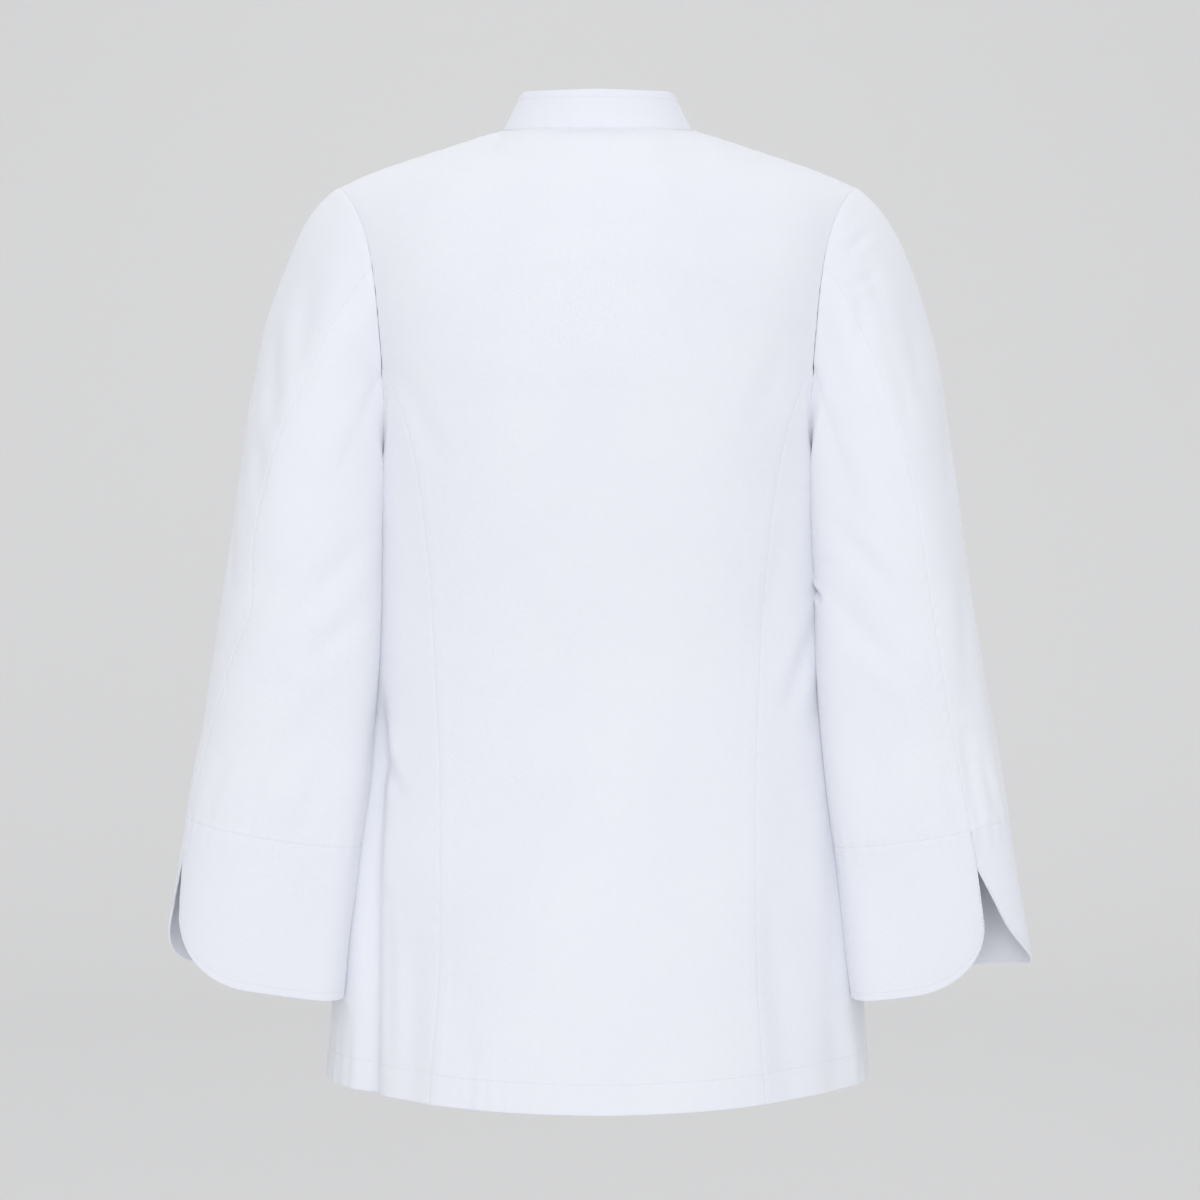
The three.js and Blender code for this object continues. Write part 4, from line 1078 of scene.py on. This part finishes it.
class JacketLooks(bpy.types.PropertyGroup):
    """Colours and weave."""

    cloth_colour: bpy.props.FloatVectorProperty(
        name="Cloth", description="Body cloth", subtype="COLOR", size=3, default=(0.86, 0.875, 0.93)
    )
    band_colour: bpy.props.FloatVectorProperty(
        name="Bands", description="Collar and cuffs", subtype="COLOR", size=3, default=(0.85, 0.87, 0.935)
    )
    shade_colour: bpy.props.FloatVectorProperty(
        name="Shade", description="Darker threads", subtype="COLOR", size=3, default=(0.80, 0.82, 0.885)
    )
    thread_colour: bpy.props.FloatVectorProperty(
        name="Thread", description="Topstitching", subtype="COLOR", size=3, default=(0.88, 0.89, 0.93)
    )
    button_colour: bpy.props.FloatVectorProperty(
        name="Buttons", description="Button plastic", subtype="COLOR", size=3, default=(0.86, 0.87, 0.9)
    )
    thread_pitch: bpy.props.FloatProperty(
        name="Thread pitch", description="Distance between threads", default=0.0007, unit="LENGTH"
    )
    weave_strength: bpy.props.FloatProperty(
        name="Weave strength", description="How strongly the weave shows", default=0.35, subtype="FACTOR"
    )


class JacketStage(bpy.types.PropertyGroup):
    """Camera, light and floor."""

    distance: bpy.props.FloatProperty(
        name="Camera distance", description="From the jacket's middle", default=2.8, unit="LENGTH"
    )
    camera_z: bpy.props.FloatProperty(
        name="Camera height", description="Above the shoulders", default=0.029, unit="LENGTH"
    )
    target_z: bpy.props.FloatProperty(
        name="Target height", description="Where the camera looks", default=-0.351, unit="LENGTH"
    )
    lens: bpy.props.FloatProperty(
        name="Lens", description="Focal length", default=112.5, subtype="DISTANCE_CAMERA"
    )
    floor_z: bpy.props.FloatProperty(
        name="Floor height", description="The floor below the jacket", default=-1.3, unit="LENGTH"
    )
    floor_colour: bpy.props.FloatVectorProperty(
        name="Floor", description="Floor and backdrop", subtype="COLOR", size=3, default=(0.67, 0.67, 0.67)
    )


def stitch_lines(name, lines, scene):
    """Topstitching at the jacket's own pitch."""
    return stitches(name, lines, sewing(), pitch=scene.jacket_sizes.stitch_pitch * 1000)


class JACKET_OT_collar(bpy.types.Operator):
    """Makes the standing band collar"""

    bl_idname = "jacket.collar"
    bl_label = "Collar"

    def execute(self, context):
        scene = context.scene
        grid = collar_grid()
        distances = border_distances(grid)
        moved = undulation(distances["left"], distances["top"], 71, 130, 0.5) * smooth(0, 9, distances["top"])
        moved += stitched_line(np.abs(distances["bottom"] - 5), distances["left"], 72)
        moved += stitched_line(np.abs(distances["top"] - 3), distances["left"], 73)
        outer, normal, distances = cloth_piece(
            "collar_cloth", grid, body_inside(grid), cloth(True),
            scene.jacket_sizes.band_thickness * 1000, moved, ("top",), 74,
        )
        lines = [grid_line(outer, normal, distances, "bottom", 5)]
        lines.append(grid_line(outer, normal, distances, "top", 3))
        lines += [grid_line(outer, normal, distances, side, 5) for side in ("left", "right")]
        stitch_lines("collar_stitches", lines, scene)
        return {"FINISHED"}


class JACKET_OT_back(bpy.types.Operator):
    """Makes the back, from the shoulder seams to the hem"""

    bl_idname = "jacket.back"
    bl_label = "Back"

    def execute(self, context):
        scene = context.scene
        grid = back_grid()
        distances = border_distances(grid)
        line, layer = hem_parts(distances, 21)
        seam = np.minimum(distances["left"], distances["right"])
        welt = 0.3 * smooth(10, 8, seam) * smooth(PRINCESS_TOP_Z, PRINCESS_TOP_Z - 20, grid[..., 2])
        moved = body_folds(grid) * away_from_edges(grid) + pressed_side(grid) + line + welt
        outer, normal, distances = cloth_piece(
            "back_panel_cloth", grid, body_inside(grid), cloth(),
            scene.jacket_sizes.cloth_thickness * 1000, moved,
            ("top", "left", "right"), 31, layer,
        )
        hem = grid_line(outer, normal, distances, "bottom", HEM_DEPTH)
        stitch_lines("back_hem_stitches", [hem], scene)
        return {"FINISHED"}


class JACKET_OT_side_backs(bpy.types.Operator):
    """Makes the two side backs, between the princess seams and the side seams"""

    bl_idname = "jacket.side_backs"
    bl_label = "Side backs"

    def execute(self, context):
        scene = context.scene
        for name, side in (("left", 1), ("right", -1)):
            grid = side_back_grid(side)
            line, layer = hem_parts(border_distances(grid), 23 + side)
            moved = body_folds(grid) * away_from_edges(grid) + pressed_side(grid) + line
            outer, normal, distances = cloth_piece(
                f"side_back_{name}_cloth", grid, body_inside(grid), cloth(),
                scene.jacket_sizes.cloth_thickness * 1000, moved,
                ("top", "left", "right"), 41 + side, layer,
            )
            hem = grid_line(outer, normal, distances, "bottom", HEM_DEPTH)
            stitch_lines(f"side_back_{name}_stitches", [hem], scene)
        return {"FINISHED"}


class JACKET_OT_fronts(bpy.types.Operator):
    """Makes the two fronts, the right one lapped over the left one"""

    bl_idname = "jacket.fronts"
    bl_label = "Fronts"

    def execute(self, context):
        scene = context.scene
        for name, side in (("left", 1), ("right", -1)):
            grid = front_grid(side)
            distances = border_distances(grid)
            line, layer = hem_parts(distances, 27 + side)
            edge = overlap_x(grid[..., 2])
            lift = LAP_LIFT * smooth(edge + LAP_RAMP, edge + 2, -grid[..., 0]) * (side < 0)
            lapped = smooth(edge + 4, edge - 4, np.abs(grid[..., 0]))
            folds = body_folds(grid) * away_from_edges(grid) * mix(1, 0.35, lapped)
            edging = stitched_line(np.abs(distances["left"] - 6), distances["top"], 61 + side)
            outer, normal, distances = cloth_piece(
                f"front_{name}_cloth", grid, body_inside(grid), cloth(),
                scene.jacket_sizes.cloth_thickness * 1000, folds + lift + line + edging, ("top", "right"),
                51 + side, layer,
            )
            lines = [grid_line(outer, normal, distances, "bottom", HEM_DEPTH)]
            lines.append(grid_line(outer, normal, distances, "left", 6))
            stitch_lines(f"front_{name}_stitches", lines, scene)
        return {"FINISHED"}


class JACKET_OT_sleeves(bpy.types.Operator):
    """Makes the top and under sleeves of both arms"""

    bl_idname = "jacket.sleeves"
    bl_label = "Sleeves"

    def execute(self, context):
        scene = context.scene
        for hand, side in (("left", 1), ("right", -1)):
            for part, is_top in (("top", True), ("under", False)):
                grid, angles = sleeve_grid(hand, is_top)
                distances = border_distances(grid)
                moved = sleeve_folds(angles, grid[..., 2], hand, 80 + side)
                near = smooth(150, 240, angles) * smooth(292, 262, angles) * smooth(-240, -270, grid[..., 2])
                moved = np.where(moved > 0, moved * (1 - near), moved * mix(1, 0.6, near))
                moved = moved * smooth(0, 12, distances["top"]) * smooth(0, 8, distances["bottom"])
                moved = moved + pressed_sleeve(angles, distances["top"])
                moved = moved + 0.3 * smooth(10, 8, distances["top"])
                moved = moved + gathered(angles, distances["bottom"])
                grid = grid * (side, 1, 1)
                cloth_piece(
                    f"sleeve_{part}_{hand}_cloth", grid, sleeve_inside(grid, side), cloth(),
                    scene.jacket_sizes.cloth_thickness * 1000, moved, ("top", "bottom", "left", "right"),
                    90 + 4 * side + 2 * is_top,
                )
        return {"FINISHED"}


class JACKET_OT_cuffs(bpy.types.Operator):
    """Makes the deep cuffs with their rounded vents"""

    bl_idname = "jacket.cuffs"
    bl_label = "Cuffs"

    def execute(self, context):
        scene = context.scene
        for hand, side in (("left", 1), ("right", -1)):
            grid, angle = cuff_grid(hand)
            grid = grid * (side, 1, 1)
            distances = border_distances(grid)
            moved = undulation(angle, grid[..., 2], 100 + side, 110, 0.5) * smooth(0, 9, distances["top"])
            moved += pressed_sleeve(angle, 100) + gathered(angle, distances["top"])
            for edge in ("bottom", "left", "right"):
                along = distances["left" if edge == "bottom" else "top"]
                moved += stitched_line(np.abs(distances[edge] - 6), along, 105 + side)
            outer, normal, distances = cloth_piece(
                f"cuff_{hand}_cloth", grid, sleeve_inside(grid, side), cloth(True),
                scene.jacket_sizes.band_thickness * 1000, moved, ("top",), 108 + side,
            )
            lines = [grid_line(outer, normal, distances, edge, 6) for edge in ("bottom", "left", "right")]
            stitch_lines(f"cuff_{hand}_stitches", lines, scene)
        return {"FINISHED"}


BUTTON_PROFILE = (
    (8.3, 0.0), (8.8, 0.35), (9.0, 0.9), (8.95, 2.2), (8.6, 2.9), (8.0, 3.25), (7.3, 3.35), (6.6, 3.2),
    (6.1, 2.85), (5.7, 2.5), (5.2, 2.3), (4.6, 2.2), (4.1, 2.18), (3.75, 2.16), (3.4, 2.15), (3.05, 2.15),
    (2.7, 2.15), (2.35, 2.15), (2.0, 2.15), (1.65, 2.15), (1.3, 2.15), (0.95, 2.15), (0.5, 2.15),
)
BUTTON_SIDES = 48


def button_places():
    """Centres and outward directions of the ten buttons on the upper front, right and left column in turn."""
    z = BUTTON["first_z"] - BUTTON["pitch"] * np.repeat(np.arange(BUTTON["rows"]), 2)
    x = (overlap_x(z) - BUTTON["inset"]) * np.tile([1, -1], BUTTON["rows"])
    centre = body_point("front", x, z)
    aside = body_point("front", x + 0.5, z) - body_point("front", x - 0.5, z)
    above = body_point("front", x, z + 0.5) - body_point("front", x, z - 0.5)
    out = np.cross(aside, above)
    out /= np.linalg.norm(out, axis=1, keepdims=True)
    return centre, np.where(out[:, 1:2] < 0, out, -out)


class JACKET_OT_buttons(bpy.types.Operator):
    """Makes the ten buttons and the thread that holds them"""

    bl_idname = "jacket.buttons"
    bl_label = "Buttons"

    def execute(self, context):
        scene = context.scene
        material = button_material("button_plastic", tuple(scene.jacket_looks.button_colour))
        turn = 2 * np.pi * np.arange(BUTTON_SIDES) / BUTTON_SIDES
        radius, height = np.array(BUTTON_PROFILE).T
        x, y = radius[:, None] * np.cos(turn), radius[:, None] * np.sin(turn)
        z = np.repeat(height[:, None], BUTTON_SIDES, axis=1)
        for sx in (-1, 1):
            for sy in (-1, 1):
                z = z - 1.5 * smooth(1.15, 0.75, np.hypot(x - 1.75 * sx, y - 1.75 * sy)) * (z > 2)
        local = np.concatenate([[(0, 0, 0)], points(x, y, z).reshape(-1, 3), [(0, 0, 2.15)]])
        quads, ends = spindle_faces(len(BUTTON_PROFILE), BUTTON_SIDES)
        centres, outs = button_places()
        threads = []
        for i, (centre, out) in enumerate(zip(centres, outs)):
            side = np.cross((0, 0, 1), out)
            side /= np.linalg.norm(side)
            basis = np.stack([side, np.cross(out, side), out])
            foot = centre + out * (LAP_LIFT + 0.55)
            piece = mesh_object(f"button_{i + 1}_disc", foot + local @ basis, [quads, ends], material)
            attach(piece, "root")
            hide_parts(f"button_{i + 1}")
            for across in (-1, 1):
                for strand in (-0.3, 0, 0.3):
                    a = foot + np.array((-1.9, 1.75 * across + strand, 2.25)) @ basis
                    b = foot + np.array((1.9, 1.75 * across + strand, 2.25)) @ basis
                    threads.append((np.stack([a, b]), np.stack([out, out])))
        stitches("button_threads", threads, sewing(), length=3.8, pitch=3.8, radius=0.22)
        return {"FINISHED"}


def aim(thing, place, target):
    """Puts a lamp or the camera at a place and turns it to a target."""
    thing.location = place
    thing.rotation_euler = (Vector(target) - Vector(place)).to_track_quat("-Z", "Y").to_euler()
    bpy.context.scene.collection.objects.link(thing)


# Lamps: name, place, target and size in metres, watts.
LAMPS = (
    ("key", (-0.7, 4.6, 0.5), (0, 0, -0.35), 1.6, 33),
    ("fill", (0.9, 4.4, -0.2), (0, 0, -0.35), 1.6, 25),
    ("backdrop", (0, -1.2, 2.4), (0, -4, -0.2), 2.5, 36),
)


class JACKET_OT_stage(bpy.types.Operator):
    """Makes the floor with its backdrop, the soft lights and the camera"""

    bl_idname = "jacket.stage"
    bl_label = "Stage"

    def execute(self, context):
        scene = context.scene
        stage = scene.jacket_stage
        floor_z = stage.floor_z * 1000
        turn = np.linspace(0, np.pi / 2, 24)
        bend = 1500.0
        y = np.concatenate([[5000], -2500 - bend * np.sin(turn), [-2500 - bend]])
        z = np.concatenate([[floor_z], floor_z + bend * (1 - np.cos(turn)), [4500]])
        grid = points(np.array([[-7000.0, 7000.0]]), y[:, None], z[:, None])
        index = np.arange(grid.shape[0] * 2).reshape(-1, 2)
        faces = np.stack([index[:-1, 0], index[:-1, 1], index[1:, 1], index[1:, 0]], -1)
        shader = Shader("floor_paper")
        place = shader.node("ShaderNodeTexCoord", output="Object")
        tone = shader.node("ShaderNodeTexNoise", inputs={"Vector": place, "Scale": 0.6, "Detail": 1.0})
        light = tuple(stage.floor_colour)
        dark = tuple(0.985 * c for c in light)
        colour = shader.blend(tone, light, dark)
        surface = shader.node("ShaderNodeBsdfPrincipled", inputs={"Base Color": colour, "Roughness": 0.95})
        mesh_object("floor", grid.reshape(-1, 3), faces, shader.finish(surface))
        for name, place, target, size, power in LAMPS:
            data = bpy.data.lights.new(name, "AREA")
            data.shape = "DISK"
            data.size = size
            data.energy = power
            aim(bpy.data.objects.new(name, data), place, target)
        world = bpy.data.worlds.new("studio")
        world.use_nodes = True
        background = world.node_tree.nodes["Background"].inputs
        background["Color"].default_value = (0.98, 0.985, 1, 1)
        background["Strength"].default_value = 0.82
        scene.world = world
        scene.view_settings.view_transform = "Standard"
        data = bpy.data.cameras.new("camera")
        data.lens = stage.lens
        data.sensor_width = 36
        data.shift_x = 0.002
        scene.camera = bpy.data.objects.new("camera", data)
        aim(scene.camera, (0, stage.distance, stage.camera_z), (0, 0, stage.target_z))
        return {"FINISHED"}


PIECES = (
    JACKET_OT_collar, JACKET_OT_back, JACKET_OT_side_backs, JACKET_OT_fronts, JACKET_OT_sleeves,
    JACKET_OT_cuffs, JACKET_OT_buttons, JACKET_OT_stage,
)


class JACKET_PT_panel(bpy.types.Panel):
    """Lists the jacket's sizes, looks and pieces"""

    bl_idname = "JACKET_PT_panel"
    bl_label = "Chef jacket"
    bl_space_type = "VIEW_3D"
    bl_region_type = "UI"
    bl_category = "Jacket"

    def draw(self, context):
        for group in ("jacket_sizes", "jacket_looks", "jacket_stage"):
            settings = getattr(context.scene, group)
            for name in settings.__annotations__:
                self.layout.prop(settings, name)
        for operator in PIECES:
            self.layout.operator(operator.bl_idname)


GROUPS = {"jacket_sizes": JacketSizes, "jacket_looks": JacketLooks, "jacket_stage": JacketStage}


def register():
    for group in GROUPS.values():
        bpy.utils.register_class(group)
    for name, group in GROUPS.items():
        setattr(bpy.types.Scene, name, bpy.props.PointerProperty(type=group))
    for operator in (*PIECES, JACKET_PT_panel):
        bpy.utils.register_class(operator)


def unregister():
    for operator in (JACKET_PT_panel, *reversed(PIECES)):
        bpy.utils.unregister_class(operator)
    for name in GROUPS:
        delattr(bpy.types.Scene, name)
    for group in GROUPS.values():
        bpy.utils.unregister_class(group)


def main():
    """Builds every piece in order."""
    register()
    for operator in PIECES:
        area, verb = operator.bl_idname.split(".")
        getattr(getattr(bpy.ops, area), verb)()


if __name__ == "__main__":
    main()
